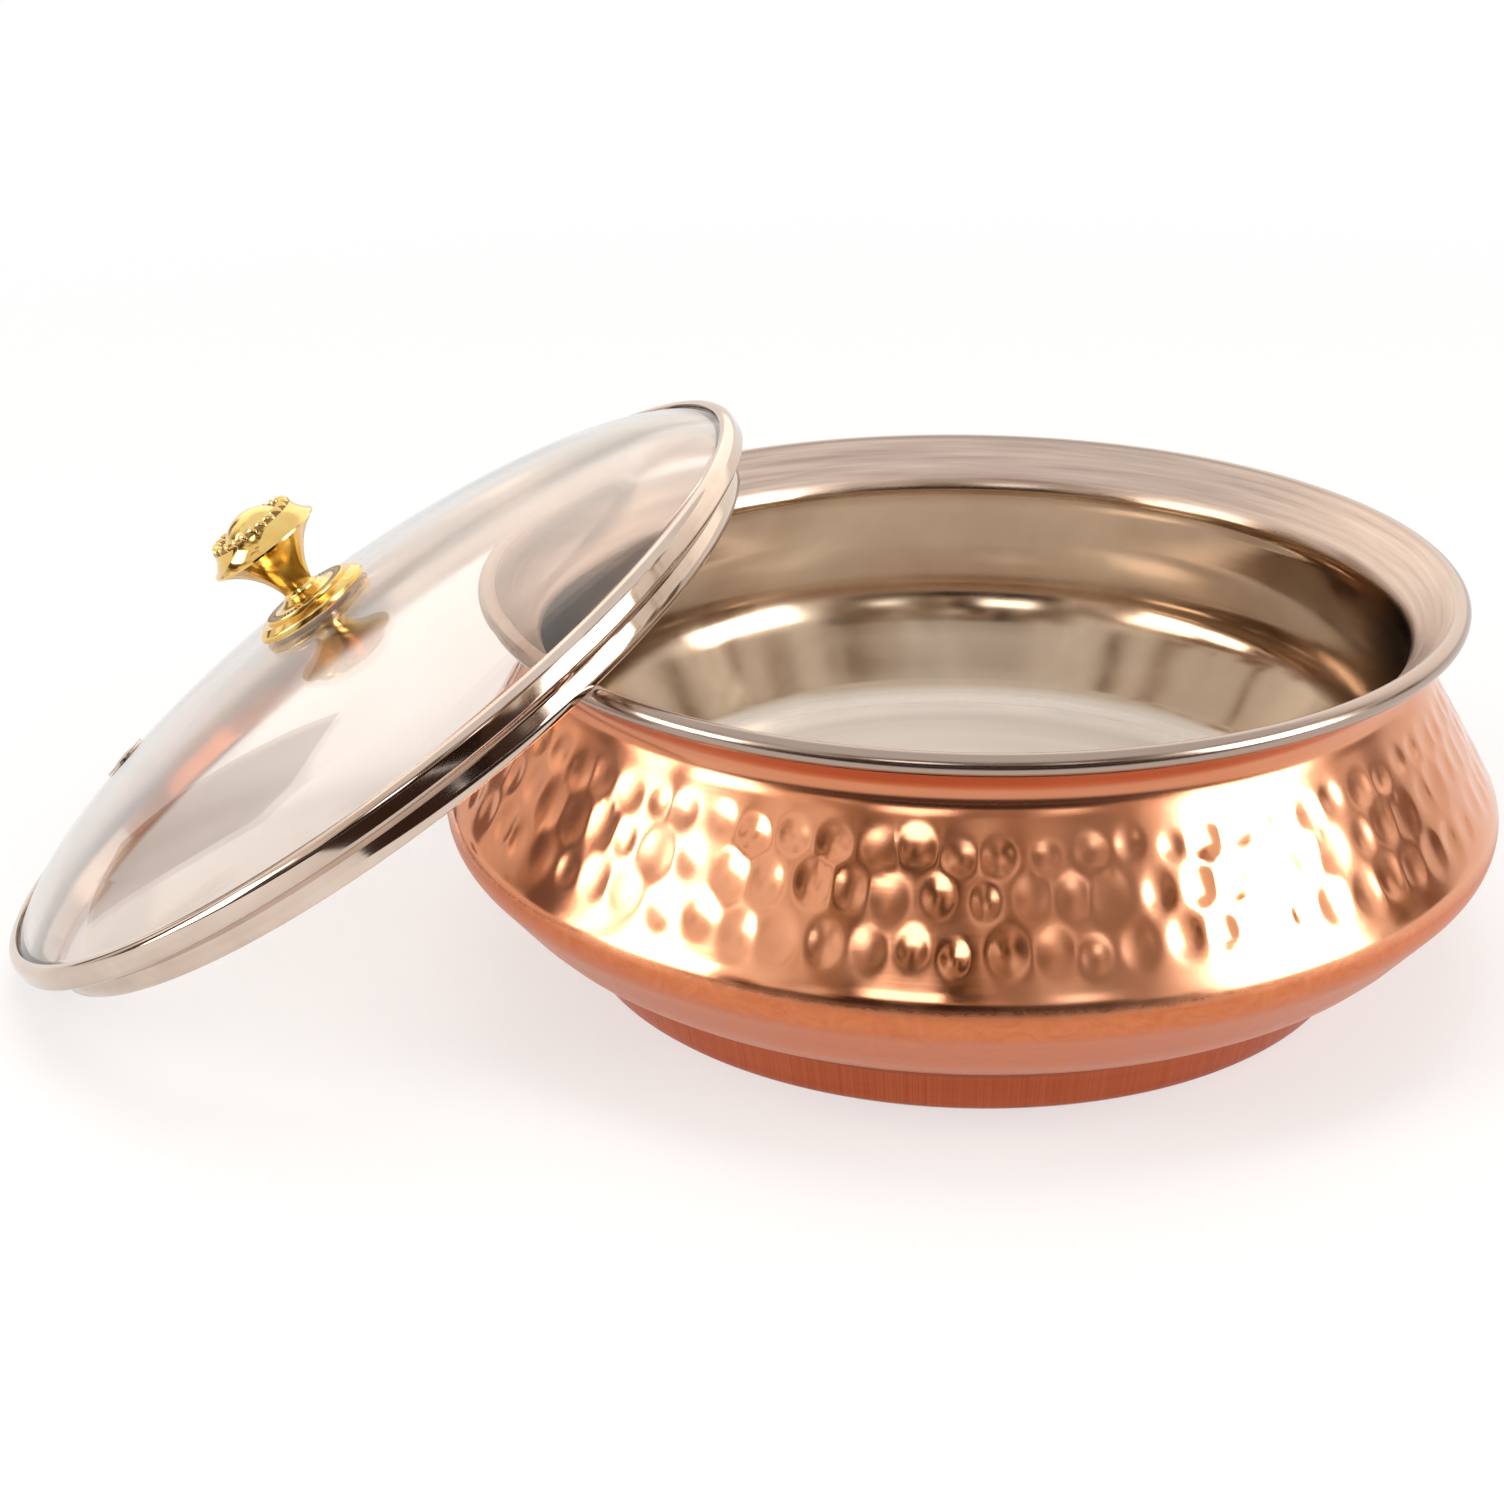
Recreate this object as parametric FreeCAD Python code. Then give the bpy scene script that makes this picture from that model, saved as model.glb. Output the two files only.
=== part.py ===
import FreeCAD, Part
import math
import os

# Handi pot: a round serving pot with a hammered copper outside, a plain steel bowl inside, and a
# glass lid that leans against it. Millimetres. The pot's axis is Z and it stands on z = 0.

V = FreeCAD.Vector

# Pot
BEAD_CENTRE_R = 92.0
BEAD_CENTRE_Z = 73.5
BEAD_R = 2.0
STEEL_T = 0.6
COPPER_T = 1.2
SHEET_GAP = 0.2
NECK_CORNER_R = 84.6
NECK_CORNER_Z = 65.5
NECK_FILLET = 5.0
BELLY_CORNER_R = 104.5
BELLY_CORNER_Z = 31.3
BELLY_FILLET = 7.5
LOWER_CORNER_R = 91.6
LOWER_CORNER_Z = 16.0
LOWER_FILLET = 20.0
FOOT_TOP_R = 78.5
FOOT_TOP_Z = 8.6
FOOT_TOP_FILLET = 1.0
FOOT_R = 76.5
FOOT_FILLET = 1.8

# Bends tighter than this are drawn as one flat, and the rim's curl as a few
TIGHT_BEND = 2.5
CURL_FLATS = 9

# Steel bowl, below the neck that it shares with the copper
BOWL_BULGE_R = 91.0
BOWL_BULGE_Z = 43.0
BOWL_BULGE_FILLET = 22.0
BOWL_FLOOR_R = 73.8
BOWL_FLOOR_Z = 17.0
BOWL_FLOOR_FILLET = 12.5

# Hammered dents: three rows round the shoulder, each dent cut by an eight-sided hammer face
DENTS_PER_ROW = 80
DENT_DEPTH = 0.6
DENT_SPREAD = 0.05
DENT_DRIFT = 0.3
DENT_FLAT = 0.55
TOP_ROW_Z = 56.6
TOP_DENT_W = 6.5
TOP_DENT_H = 6.6
MIDDLE_ROW_Z = 50.0
MIDDLE_DENT_W = 6.8
MIDDLE_DENT_H = 8.8
BOTTOM_ROW_Z = 42.2
BOTTOM_DENT_W = 7.2
BOTTOM_DENT_H = 8.8

# Lid band, in the lid's own frame: the lid's axis is Z and the skirt's edge is at z = 0
LID_SKIRT_R = 82.4
LID_SKIRT_H = 6.2
LID_TIER_R = 87.6
LID_TIER_H = 4.6
LID_LIP_R = 85.1
BAND_T = 0.5
HEM_H = 1.4
STEP_FILLET = 0.8
TIER_FILLET = 1.2

# Lid glass
GLASS_T = 3.2
GLASS_CLEARANCE = 0.2
DOME_RISE = 16.4
CROWN_R = 260.0
CROWN_EDGE_R = 70.0
VENT_R = 62.0
VENT_ANGLE = 163.0
EYELET_HOLE_R = 1.6
EYELET_TUBE_R = 2.4
EYELET_FLANGE_R = 5.0
EYELET_FLANGE_T = 0.6
EYELET_FIT = 0.1

# Knob and what holds it
SCREW_R = 2.0
SCREW_CLEARANCE = 0.3
SCREW_THREAD_L = 9.0
THREAD_FIT = 0.05
SCREW_HEAD_R = 4.0
SCREW_HEAD_H = 2.4
SCREW_SLOT_W = 1.0
SCREW_SLOT_D = 1.2
SEAL_T = 0.8
SEAL_R = 10.4
SEAL_FIT = 0.05
LOWER_SEAL_R = 7.0
WASHER_R = 6.0
WASHER_T = 1.0
COLLAR_R = 12.1
COLLAR_H = 4.4
COLLAR_TOP_R = 3.9
COLLAR_STEP_R = 9.2
COLLAR_RECESS = 0.5
WAIST_R = 3.2
GRIP_R = 11.5
GRIP_TOP_R = 9.0
ROPE_W = 2.2
ROPE_H = 0.7
GRIP_DOME_R = 6.4
GRIP_EDGE_Z = 15.3
GRIP_TOP_Z = 19.2
GRIP_H = 22.7

# The lid leans towards -X: its skirt touches the table there and rests on the pot's rim
LID_TILT = 34.1
REST_CLEARANCE = 0.3


def outline(points):
    """Edges through (r, z) corners; a third number rounds that corner, or bevels a tight one."""
    edges = []
    start = V(points[0][0], 0, points[0][1])
    for i in range(1, len(points)):
        corner = V(points[i][0], 0, points[i][1])
        fillet = points[i][2] if len(points[i]) > 2 else 0
        if fillet <= 0 or i == len(points) - 1:
            edges.append(Part.LineSegment(start, corner).toShape())
            start = corner
            continue
        after = V(points[i + 1][0], 0, points[i + 1][1])
        back = (V(points[i - 1][0], 0, points[i - 1][1]) - corner).normalize()
        ahead = (after - corner).normalize()
        half = back.getAngle(ahead) / 2
        cut = fillet / math.tan(half)
        first = corner + back * cut
        last = corner + ahead * cut
        centre = corner + (back + ahead).normalize() * (fillet / math.sin(half))
        middle = centre + (corner - centre).normalize() * fillet
        if (first - start).Length > 1e-6:
            edges.append(Part.LineSegment(start, first).toShape())
        if fillet < TIGHT_BEND:
            edges.append(Part.LineSegment(first, last).toShape())
        else:
            edges.append(Part.Arc(first, middle, last).toShape())
        start = last
    return edges


def shifted(points, distance):
    """The corners of a parallel outline, to the left of the way the points run."""
    lines = []
    for a, b in zip(points, points[1:]):
        length = math.hypot(b[0] - a[0], b[1] - a[1])
        ux = (b[0] - a[0]) / length
        uz = (b[1] - a[1]) / length
        lines.append((a[0] - uz * distance, a[1] + ux * distance, ux, uz))
    moved = [(lines[0][0], lines[0][1])]
    for i in range(1, len(lines)):
        px, pz, ux, uz = lines[i - 1]
        qx, qz, vx, vz = lines[i]
        cross = ux * vz - uz * vx
        t = ((qx - px) * vz - (qz - pz) * vx) / cross
        fillet = points[i][2] if len(points[i]) > 2 else 0
        turn = -distance if cross > 0 else distance
        moved.append((px + ux * t, pz + uz * t, max(fillet + turn, 0)))
    ux, uz = lines[-1][2:]
    moved.append((points[-1][0] - uz * distance, points[-1][1] + ux * distance))
    return moved


def spun(edges):
    """A solid of revolution about Z from a closed run of edges in the XZ plane."""
    wire = Part.Wire(Part.__sortEdges__(edges))
    return Part.Face(wire).revolve(V(0, 0, 0), V(0, 0, 1), 360)


def line(a, b):
    return Part.LineSegment(V(a[0], 0, a[1]), V(b[0], 0, b[1])).toShape()


def bend(a, b, c):
    """An arc in the XZ plane through three (r, z) points."""
    return Part.Arc(V(a[0], 0, a[1]), V(b[0], 0, b[1]), V(c[0], 0, c[1])).toShape()


def ring(centre_r, centre_z, radius, from_deg, to_deg):
    """An arc in the XZ plane, angles counted from +X towards +Z."""
    def at(angle):
        a = math.radians(angle)
        return V(centre_r + radius * math.cos(a), 0, centre_z + radius * math.sin(a))
    middle = at((from_deg + to_deg) / 2)
    return Part.Arc(at(from_deg), middle, at(to_deg)).toShape()


def flats(centre_r, centre_z, radius, from_deg, to_deg, count):
    """Chords in place of an arc, which they touch at their ends."""
    step = (to_deg - from_deg) / count
    corners = [polar(centre_r, centre_z, radius, from_deg + step * i) for i in range(count + 1)]
    return [line(a, b) for a, b in zip(corners, corners[1:])]


def polar(centre_r, centre_z, radius, angle):
    a = math.radians(angle)
    return (centre_r + radius * math.cos(a), centre_z + radius * math.sin(a))


# The flare that both sheets follow from the neck up to the rolled rim
def flare_frame():
    """The steel's visible neck corner, and the unit direction of the flare from it to the bead."""
    inward = COPPER_T + SHEET_GAP + STEEL_T
    shoulder = math.atan2(BELLY_CORNER_R - NECK_CORNER_R, NECK_CORNER_Z - BELLY_CORNER_Z)
    slope = math.radians(40)
    for _ in range(30):
        half = (math.pi - slope - shoulder) / 2
        lean = (slope - shoulder) / 2
        r = NECK_CORNER_R - inward / math.sin(half) * math.cos(lean)
        z = NECK_CORNER_Z + inward / math.sin(half) * math.sin(lean)
        dr = BEAD_CENTRE_R - r
        dz = BEAD_CENTRE_Z - z
        slope = math.atan2(dr, dz) - math.asin(BEAD_R / math.hypot(dr, dz))
    return r, z, slope


NECK_R, NECK_Z, FLARE = flare_frame()
BEAD_TOP_ANGLE = 180 - math.degrees(FLARE)


def copper_path():
    """The copper's outside, from the rim down to the middle of the base."""
    up = (math.sin(FLARE), math.cos(FLARE))
    rim = (BEAD_CENTRE_R, BEAD_CENTRE_Z)
    back = (rim[0] - NECK_CORNER_R) * up[0] + (rim[1] - NECK_CORNER_Z) * up[1]
    return [
        (NECK_CORNER_R + up[0] * (back + SHEET_GAP), NECK_CORNER_Z + up[1] * (back + SHEET_GAP)),
        (NECK_CORNER_R, NECK_CORNER_Z, NECK_FILLET),
        (BELLY_CORNER_R, BELLY_CORNER_Z, BELLY_FILLET),
        (LOWER_CORNER_R, LOWER_CORNER_Z, LOWER_FILLET),
        (FOOT_TOP_R, FOOT_TOP_Z, FOOT_TOP_FILLET),
        (FOOT_R, 0, FOOT_FILLET),
        (0, 0),
    ]


def shoulder_slope():
    return math.atan2(BELLY_CORNER_R - NECK_CORNER_R, NECK_CORNER_Z - BELLY_CORNER_Z)


def wobble(row, index, kind):
    """A steady pseudo-random number from -1 to 1, the same for the same dent."""
    value = math.sin(12.9898 * (index + 1) + 78.233 * (row + 1) + 37.719 * kind) * 43758.5453
    return 2 * (value - math.floor(value)) - 1


def eight_sided(half_w, half_h, out):
    """Corners of an eight-sided mark, out from the shoulder's face."""
    points = []
    for side in range(8):
        a = math.radians(45 * side + 22.5)
        points.append(V(out, half_w * math.cos(a), half_h * math.sin(a)))
    return points


def dent_cutter(row, index, z, width, height):
    """The face of the hammer that leaves one dent: a flat middle and eight sloping sides."""
    slope = shoulder_slope()
    grow = (1 + DENT_SPREAD * wobble(row, index, 1)) / 2
    depth = DENT_DEPTH * (1 + DENT_SPREAD * wobble(row, index, 2))
    z = z + DENT_DRIFT * wobble(row, index, 3)
    angle = 360 / DENTS_PER_ROW * (index + 0.5 * (row % 2) + DENT_DRIFT * wobble(row, index, 4) / 6)
    surface_r = NECK_CORNER_R + (NECK_CORNER_Z - z) * math.tan(slope)
    low = eight_sided(width * grow * DENT_FLAT, height * grow * DENT_FLAT, -depth)
    high = eight_sided(width * grow * (2 - DENT_FLAT), height * grow * (2 - DENT_FLAT), depth)
    faces = [Part.Face(Part.makePolygon(low + low[:1])), Part.Face(Part.makePolygon(high + high[:1]))]
    for i in range(8):
        j = (i + 1) % 8
        faces.append(Part.Face(Part.makePolygon([low[i], low[j], high[j], high[i], low[i]])))
    tool = Part.Solid(Part.Shell(faces))
    tool.rotate(V(0, 0, 0), V(0, 1, 0), -math.degrees(slope))
    tool.translate(V(surface_r, 0, z))
    tool.rotate(V(0, 0, 0), V(0, 0, 1), angle)
    return tool


def dented(shell):
    """Cut the rows one after another."""
    rows = [
        (TOP_ROW_Z, TOP_DENT_W, TOP_DENT_H),
        (MIDDLE_ROW_Z, MIDDLE_DENT_W, MIDDLE_DENT_H),
        (BOTTOM_ROW_Z, BOTTOM_DENT_W, BOTTOM_DENT_H),
    ]
    for row, (z, width, height) in enumerate(rows):
        tools = [dent_cutter(row, i, z, width, height) for i in range(DENTS_PER_ROW)]
        shell = shell.cut(tools)
    return shell


def outer_shell():
    """Spun copper: flare, hammered shoulder, belly, foot and base in one sheet."""
    outside = copper_path()
    inside = shifted(outside, -COPPER_T)
    inside[-1] = (0, inside[-1][1])
    edges = outline(outside) + outline(inside)
    edges.append(line(outside[0], inside[0]))
    edges.append(line(outside[-1], inside[-1]))
    return dented(spun(edges))


def inner_bowl():
    """Spun steel bowl, whose edge rolls over the copper's edge as the rim bead."""
    top = polar(BEAD_CENTRE_R, BEAD_CENTRE_Z, BEAD_R, BEAD_TOP_ANGLE)
    fillet = NECK_FILLET + COPPER_T + SHEET_GAP + STEEL_T
    inside = [
        top,
        (NECK_R, NECK_Z, fillet),
        (BOWL_BULGE_R, BOWL_BULGE_Z, BOWL_BULGE_FILLET),
        (BOWL_FLOOR_R, BOWL_FLOOR_Z, BOWL_FLOOR_FILLET),
        (0, BOWL_FLOOR_Z),
    ]
    outside = shifted(inside, STEEL_T)
    inner_r = BEAD_R - STEEL_T
    slot = math.degrees(math.asin(SHEET_GAP / inner_r))
    curl_end = BEAD_TOP_ANGLE - 270 + slot
    edges = outline(inside) + outline(outside)
    edges.append(line(inside[-1], outside[-1]))
    edges += flats(BEAD_CENTRE_R, BEAD_CENTRE_Z, BEAD_R, BEAD_TOP_ANGLE, curl_end, CURL_FLATS)
    edges += flats(BEAD_CENTRE_R, BEAD_CENTRE_Z, inner_r, BEAD_TOP_ANGLE, curl_end, CURL_FLATS)
    outer_end = polar(BEAD_CENTRE_R, BEAD_CENTRE_Z, BEAD_R, curl_end)
    edges.append(line(outer_end, polar(BEAD_CENTRE_R, BEAD_CENTRE_Z, inner_r, curl_end)))
    return spun(edges)


# The lid, built upright in its own frame
LID_TOP = LID_SKIRT_H + LID_TIER_H
BRIM_TOP = LID_TOP - BAND_T - GLASS_CLEARANCE
BRIM_BOTTOM = BRIM_TOP - GLASS_T
BRIM_R = LID_TIER_R - BAND_T - 1.5 * GLASS_CLEARANCE
APEX = BRIM_TOP + DOME_RISE
GLASS_UNDER = APEX - GLASS_T


def lid_band():
    """Rolled steel band: a hemmed skirt, a step, and a channel that grips the glass."""
    outside = [
        (LID_SKIRT_R, 0),
        (LID_SKIRT_R, LID_SKIRT_H, STEP_FILLET),
        (LID_TIER_R, LID_SKIRT_H, STEP_FILLET),
        (LID_TIER_R, LID_TOP, TIER_FILLET),
        (LID_LIP_R, LID_TOP),
    ]
    inside = shifted(outside, BAND_T)
    edges = outline(outside) + outline([(inside[0][0], HEM_H)] + inside[1:])
    hem_r = LID_SKIRT_R - 2 * BAND_T
    edges.append(line(outside[0], (hem_r, 0)))
    edges.append(line((hem_r, 0), (hem_r, HEM_H)))
    edges.append(line((hem_r, HEM_H), (inside[0][0], HEM_H)))
    edges.append(line(outside[-1], inside[-1]))
    return spun(edges)


def haunch():
    """Centre (r, z) and radius of the arc that joins the crown to the brim's top."""
    centre_z = APEX - CROWN_R
    a = math.asin(CROWN_EDGE_R / CROWN_R)
    start = (CROWN_EDGE_R, centre_z + CROWN_R * math.cos(a))
    inward = (-math.sin(a), -math.cos(a))
    chord = (LID_LIP_R - start[0], BRIM_TOP - start[1])
    radius = (chord[0] ** 2 + chord[1] ** 2) / (2 * (chord[0] * inward[0] + chord[1] * inward[1]))
    return start[0] + radius * inward[0], start[1] + radius * inward[1], radius, math.degrees(a)


def lid_glass():
    """Pressed glass dome with a flat brim, a hole at its crown and a vent hole."""
    r, z, radius, start = haunch()
    crown_z = APEX - CROWN_R
    end = math.degrees(math.atan2(BRIM_TOP - z, LID_LIP_R - r))
    under_r = radius - GLASS_T
    under_end = math.degrees(math.asin((BRIM_BOTTOM - z) / under_r))
    foot = polar(r, z, under_r, under_end)
    edges = [
        ring(0, crown_z, CROWN_R, 90, 90 - start),
        ring(r, z, radius, 90 - start, end),
        line((LID_LIP_R, BRIM_TOP), (BRIM_R, BRIM_TOP)),
        line((BRIM_R, BRIM_TOP), (BRIM_R, BRIM_BOTTOM)),
        line((BRIM_R, BRIM_BOTTOM), foot),
        ring(r, z, under_r, 90 - start, under_end),
        ring(0, crown_z, CROWN_R - GLASS_T, 90, 90 - start),
        line((0, APEX), (0, GLASS_UNDER)),
    ]
    glass = spun(edges)
    hole_r = SCREW_R + SCREW_CLEARANCE
    hole = Part.makeCylinder(hole_r, 3 * GLASS_T, V(0, 0, GLASS_UNDER - GLASS_T))
    vent = Part.makeCylinder(EYELET_TUBE_R + EYELET_FIT, 4 * GLASS_T, V(0, 0, -3 * GLASS_T))
    return glass.cut([hole, at_vent(vent)])


def at_vent(shape):
    """Put a shape made about Z, with the glass's outside at z = 0, square to the glass at the vent."""
    lean = math.degrees(math.asin(VENT_R / CROWN_R))
    shape.translate(V(0, 0, CROWN_R))
    shape.rotate(V(0, 0, 0), V(0, 1, 0), lean)
    shape.translate(V(0, 0, APEX - CROWN_R))
    shape.rotate(V(0, 0, 0), V(0, 0, 1), VENT_ANGLE)
    return shape


def vent_grommet():
    """Pressed eyelet, flared on both faces of the glass."""
    top = EYELET_FIT
    under = -GLASS_T - EYELET_FIT
    flange = EYELET_FLANGE_R
    small = EYELET_FLANGE_R - 1
    outside = [
        (EYELET_TUBE_R, under),
        (EYELET_TUBE_R, top),
        (flange, top),
        (flange, top + EYELET_FLANGE_T, EYELET_FLANGE_T / 2),
        (EYELET_HOLE_R, top + EYELET_FLANGE_T, EYELET_FLANGE_T / 2),
        (EYELET_HOLE_R, under - EYELET_FLANGE_T, EYELET_FLANGE_T / 2),
        (small, under - EYELET_FLANGE_T, EYELET_FLANGE_T / 2),
        (small, under),
        (EYELET_TUBE_R, under),
    ]
    return at_vent(spun(outline(outside)))


KNOB_Z = APEX + SEAL_T - COLLAR_RECESS


def disc(radius, hole, z, thickness):
    washer = Part.makeCylinder(radius, thickness, V(0, 0, z))
    return washer.cut(Part.makeCylinder(hole, 3 * thickness, V(0, 0, z - thickness)))


def knob_seal():
    """Soft washer between the knob's collar and the glass, shaped to the crown."""
    seal = disc(SEAL_R, SCREW_R + SCREW_CLEARANCE, APEX - SEAL_T, 2 * SEAL_T)
    return seal.cut(Part.makeSphere(CROWN_R + SEAL_FIT, V(0, 0, APEX - CROWN_R)))


def lower_seal():
    """Soft washer under the glass."""
    hole = SCREW_R + SCREW_CLEARANCE
    seal = disc(LOWER_SEAL_R, hole, GLASS_UNDER - SEAL_T - SEAL_FIT, 2 * SEAL_T)
    return seal.common(Part.makeSphere(CROWN_R - GLASS_T - SEAL_FIT, V(0, 0, APEX - CROWN_R)))


WASHER_Z = GLASS_UNDER - SEAL_T - SEAL_FIT - WASHER_T


def screw_washer():
    return disc(WASHER_R, SCREW_R + SCREW_CLEARANCE, WASHER_Z, WASHER_T)


def knob_screw():
    """Pan-head screw, up through the washers, the glass and the collar into the grip."""
    top = KNOB_Z + COLLAR_H + SCREW_THREAD_L
    profile = [
        (0, WASHER_Z - SCREW_HEAD_H),
        (SCREW_HEAD_R, WASHER_Z - SCREW_HEAD_H, SCREW_HEAD_H / 2),
        (SCREW_HEAD_R, WASHER_Z),
        (SCREW_R, WASHER_Z),
        (SCREW_R, top - SCREW_R / 2),
        (SCREW_R / 2, top),
        (0, top),
        (0, WASHER_Z - SCREW_HEAD_H),
    ]
    slot_at = V(-SCREW_HEAD_R, -SCREW_SLOT_W / 2, WASHER_Z - SCREW_HEAD_H)
    slot = Part.makeBox(2 * SCREW_HEAD_R, SCREW_SLOT_W, SCREW_SLOT_D, slot_at)
    return spun(outline(profile)).cut(slot)


def knob_collar():
    """Turned brass collar: a wide moulded foot that steps up to the grip's waist."""
    hole = SCREW_R + SCREW_CLEARANCE
    profile = [
        (SEAL_R + SEAL_FIT, COLLAR_RECESS),
        (SEAL_R + SEAL_FIT, 0),
        (COLLAR_R, 0, 0.35),
        (COLLAR_R, 1.3, 0.5),
        (COLLAR_R - 1.5, 2.3, 0.4),
        (COLLAR_STEP_R, 2.3),
        (COLLAR_STEP_R, 3.0, 0.3),
        (COLLAR_STEP_R - 3.2, 3.0),
        (COLLAR_TOP_R + 1.2, COLLAR_H - 1.0),
        (COLLAR_TOP_R, COLLAR_H - 0.3),
        (COLLAR_TOP_R, COLLAR_H),
        (hole, COLLAR_H),
        (hole, COLLAR_RECESS),
        (SEAL_R + SEAL_FIT, COLLAR_RECESS),
    ]
    return spun(outline([(p[0], KNOB_Z + p[1]) + p[2:] for p in profile]))


def knob_grip():
    """Turned brass grip: a trumpet stem, a hollowed edge, a ring groove and a low dome."""
    z = KNOB_Z
    foot = (WAIST_R + 0.2, z + COLLAR_H)
    waist = (WAIST_R, z + COLLAR_H + 0.6)
    stem = (GRIP_R * 0.42, z + GRIP_EDGE_Z * 0.6)
    under = (GRIP_R - 2.0, z + GRIP_EDGE_Z - 1.2)
    edge = (GRIP_R, z + GRIP_EDGE_Z)
    edge_top = (GRIP_R, z + GRIP_EDGE_Z + 0.4)
    hollow = (GRIP_TOP_R + 0.6, z + GRIP_EDGE_Z + 2.4)
    crown = (GRIP_TOP_R, z + GRIP_TOP_Z)
    rope_top = (GRIP_TOP_R - ROPE_W / 2, z + GRIP_TOP_Z + ROPE_H)
    rope_in = (GRIP_TOP_R - ROPE_W, z + GRIP_TOP_Z)
    dome_foot = (GRIP_DOME_R, z + GRIP_TOP_Z)
    apex = (0, z + GRIP_H)
    dome_rise = GRIP_H - GRIP_TOP_Z
    dome_curve = (GRIP_DOME_R ** 2 + dome_rise ** 2) / (2 * dome_rise)
    dome_foot_angle = math.degrees(math.acos(GRIP_DOME_R / dome_curve))
    hole_r = SCREW_R + THREAD_FIT
    hole_top = z + COLLAR_H + SCREW_THREAD_L + SCREW_R / 2
    edges = [line(foot, waist), line(under, edge), line(edge, edge_top)]
    edges.append(bend(waist, stem, under))
    edges.append(bend(edge_top, hollow, crown))
    edges.append(bend(crown, rope_top, rope_in))
    edges.append(line(rope_in, dome_foot))
    edges.append(ring(0, apex[1] - dome_curve, dome_curve, dome_foot_angle, 90))
    edges += [line(apex, (0, hole_top)), line((0, hole_top), (hole_r, hole_top))]
    edges += [line((hole_r, hole_top), (hole_r, foot[1])), line((hole_r, foot[1]), foot)]
    return spun(edges)


def lid_place():
    """Where the lid's frame goes: its skirt on the table at -X and its hem close on the rim bead."""
    tilt = math.radians(LID_TILT)
    sin, cos = math.sin(tilt), math.cos(tilt)
    height = LID_SKIRT_R * sin
    hem_edges = [(LID_SKIRT_R, 0), (LID_SKIRT_R - 2 * BAND_T, 0), (LID_SKIRT_R - 2 * BAND_T, HEM_H)]

    def gap(back):
        least = back
        for radius, rise in hem_edges:
            for step in range(0, 721):
                a = math.pi * step / 720
                x = -back + radius * math.cos(a) * cos - rise * sin
                z = height + radius * math.cos(a) * sin + rise * cos
                across = math.hypot(x, radius * math.sin(a)) - BEAD_CENTRE_R
                least = min(least, math.hypot(across, z - BEAD_CENTRE_Z) - BEAD_R)
        return least

    far = BEAD_CENTRE_R + 2 * LID_SKIRT_R
    near = far
    while gap(near) > REST_CLEARANCE:
        far = near
        near -= 1
    for _ in range(20):
        middle = (near + far) / 2
        if gap(middle) > REST_CLEARANCE:
            far = middle
        else:
            near = middle
    return far, height


def leaning(shape, place):
    """Tip a lid piece towards -X and set it down against the pot."""
    shape.rotate(V(0, 0, 0), V(0, 1, 0), -LID_TILT)
    shape.translate(V(-place[0], 0, place[1]))
    return shape


def main():
    os.makedirs("parts", exist_ok=True)
    pieces = {"outer_shell": outer_shell(), "inner_bowl": inner_bowl()}
    lid = {
        "lid_band": lid_band,
        "lid_glass": lid_glass,
        "vent_grommet": vent_grommet,
        "knob_seal": knob_seal,
        "lower_seal": lower_seal,
        "screw_washer": screw_washer,
        "knob_screw": knob_screw,
        "knob_collar": knob_collar,
        "knob_grip": knob_grip,
    }
    place = lid_place()
    print("lid centre", round(-place[0], 3), "height", round(place[1], 3))
    for name, make in lid.items():
        pieces[name] = leaning(make(), place)
    for name, shape in pieces.items():
        print(name, "solids", len(shape.Solids), "volume", round(shape.Volume), "valid", shape.isValid())
        shape.exportStep("parts/" + name + ".step")


main()
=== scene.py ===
# %% [markdown]
# # A hammered handi pot with a leaning glass lid
# The pot is two spun metal bowls, one inside the other: hammered copper outside and plain steel
# inside. Its glass lid leans against it. Almost every piece here is round about one axis, so most of
# them are made by turning an outline, as a lathe or a spinning chuck does.

# %% Load the fixed frame
import math
import bmesh
import bpy
import numpy as np
from mathutils import Matrix, Vector


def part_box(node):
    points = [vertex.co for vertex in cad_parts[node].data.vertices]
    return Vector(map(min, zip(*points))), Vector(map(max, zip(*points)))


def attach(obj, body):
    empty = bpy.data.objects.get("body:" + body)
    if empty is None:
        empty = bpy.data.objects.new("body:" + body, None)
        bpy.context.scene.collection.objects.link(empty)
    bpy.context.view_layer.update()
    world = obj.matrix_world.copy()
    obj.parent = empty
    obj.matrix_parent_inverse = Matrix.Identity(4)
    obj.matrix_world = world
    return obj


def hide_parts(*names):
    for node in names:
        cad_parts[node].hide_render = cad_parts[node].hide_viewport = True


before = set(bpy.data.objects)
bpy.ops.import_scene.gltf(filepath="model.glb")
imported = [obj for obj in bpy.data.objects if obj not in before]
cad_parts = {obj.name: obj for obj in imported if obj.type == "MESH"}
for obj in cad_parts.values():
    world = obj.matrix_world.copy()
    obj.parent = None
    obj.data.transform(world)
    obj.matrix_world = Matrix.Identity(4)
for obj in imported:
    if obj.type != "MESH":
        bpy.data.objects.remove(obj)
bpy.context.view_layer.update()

# %% [markdown]
# ## Sizes
# The outlines repeat the few driving sizes of the real pot, in millimetres, and one factor turns them
# into metres when a mesh is made. Nothing is fitted by eye afterwards.

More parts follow.
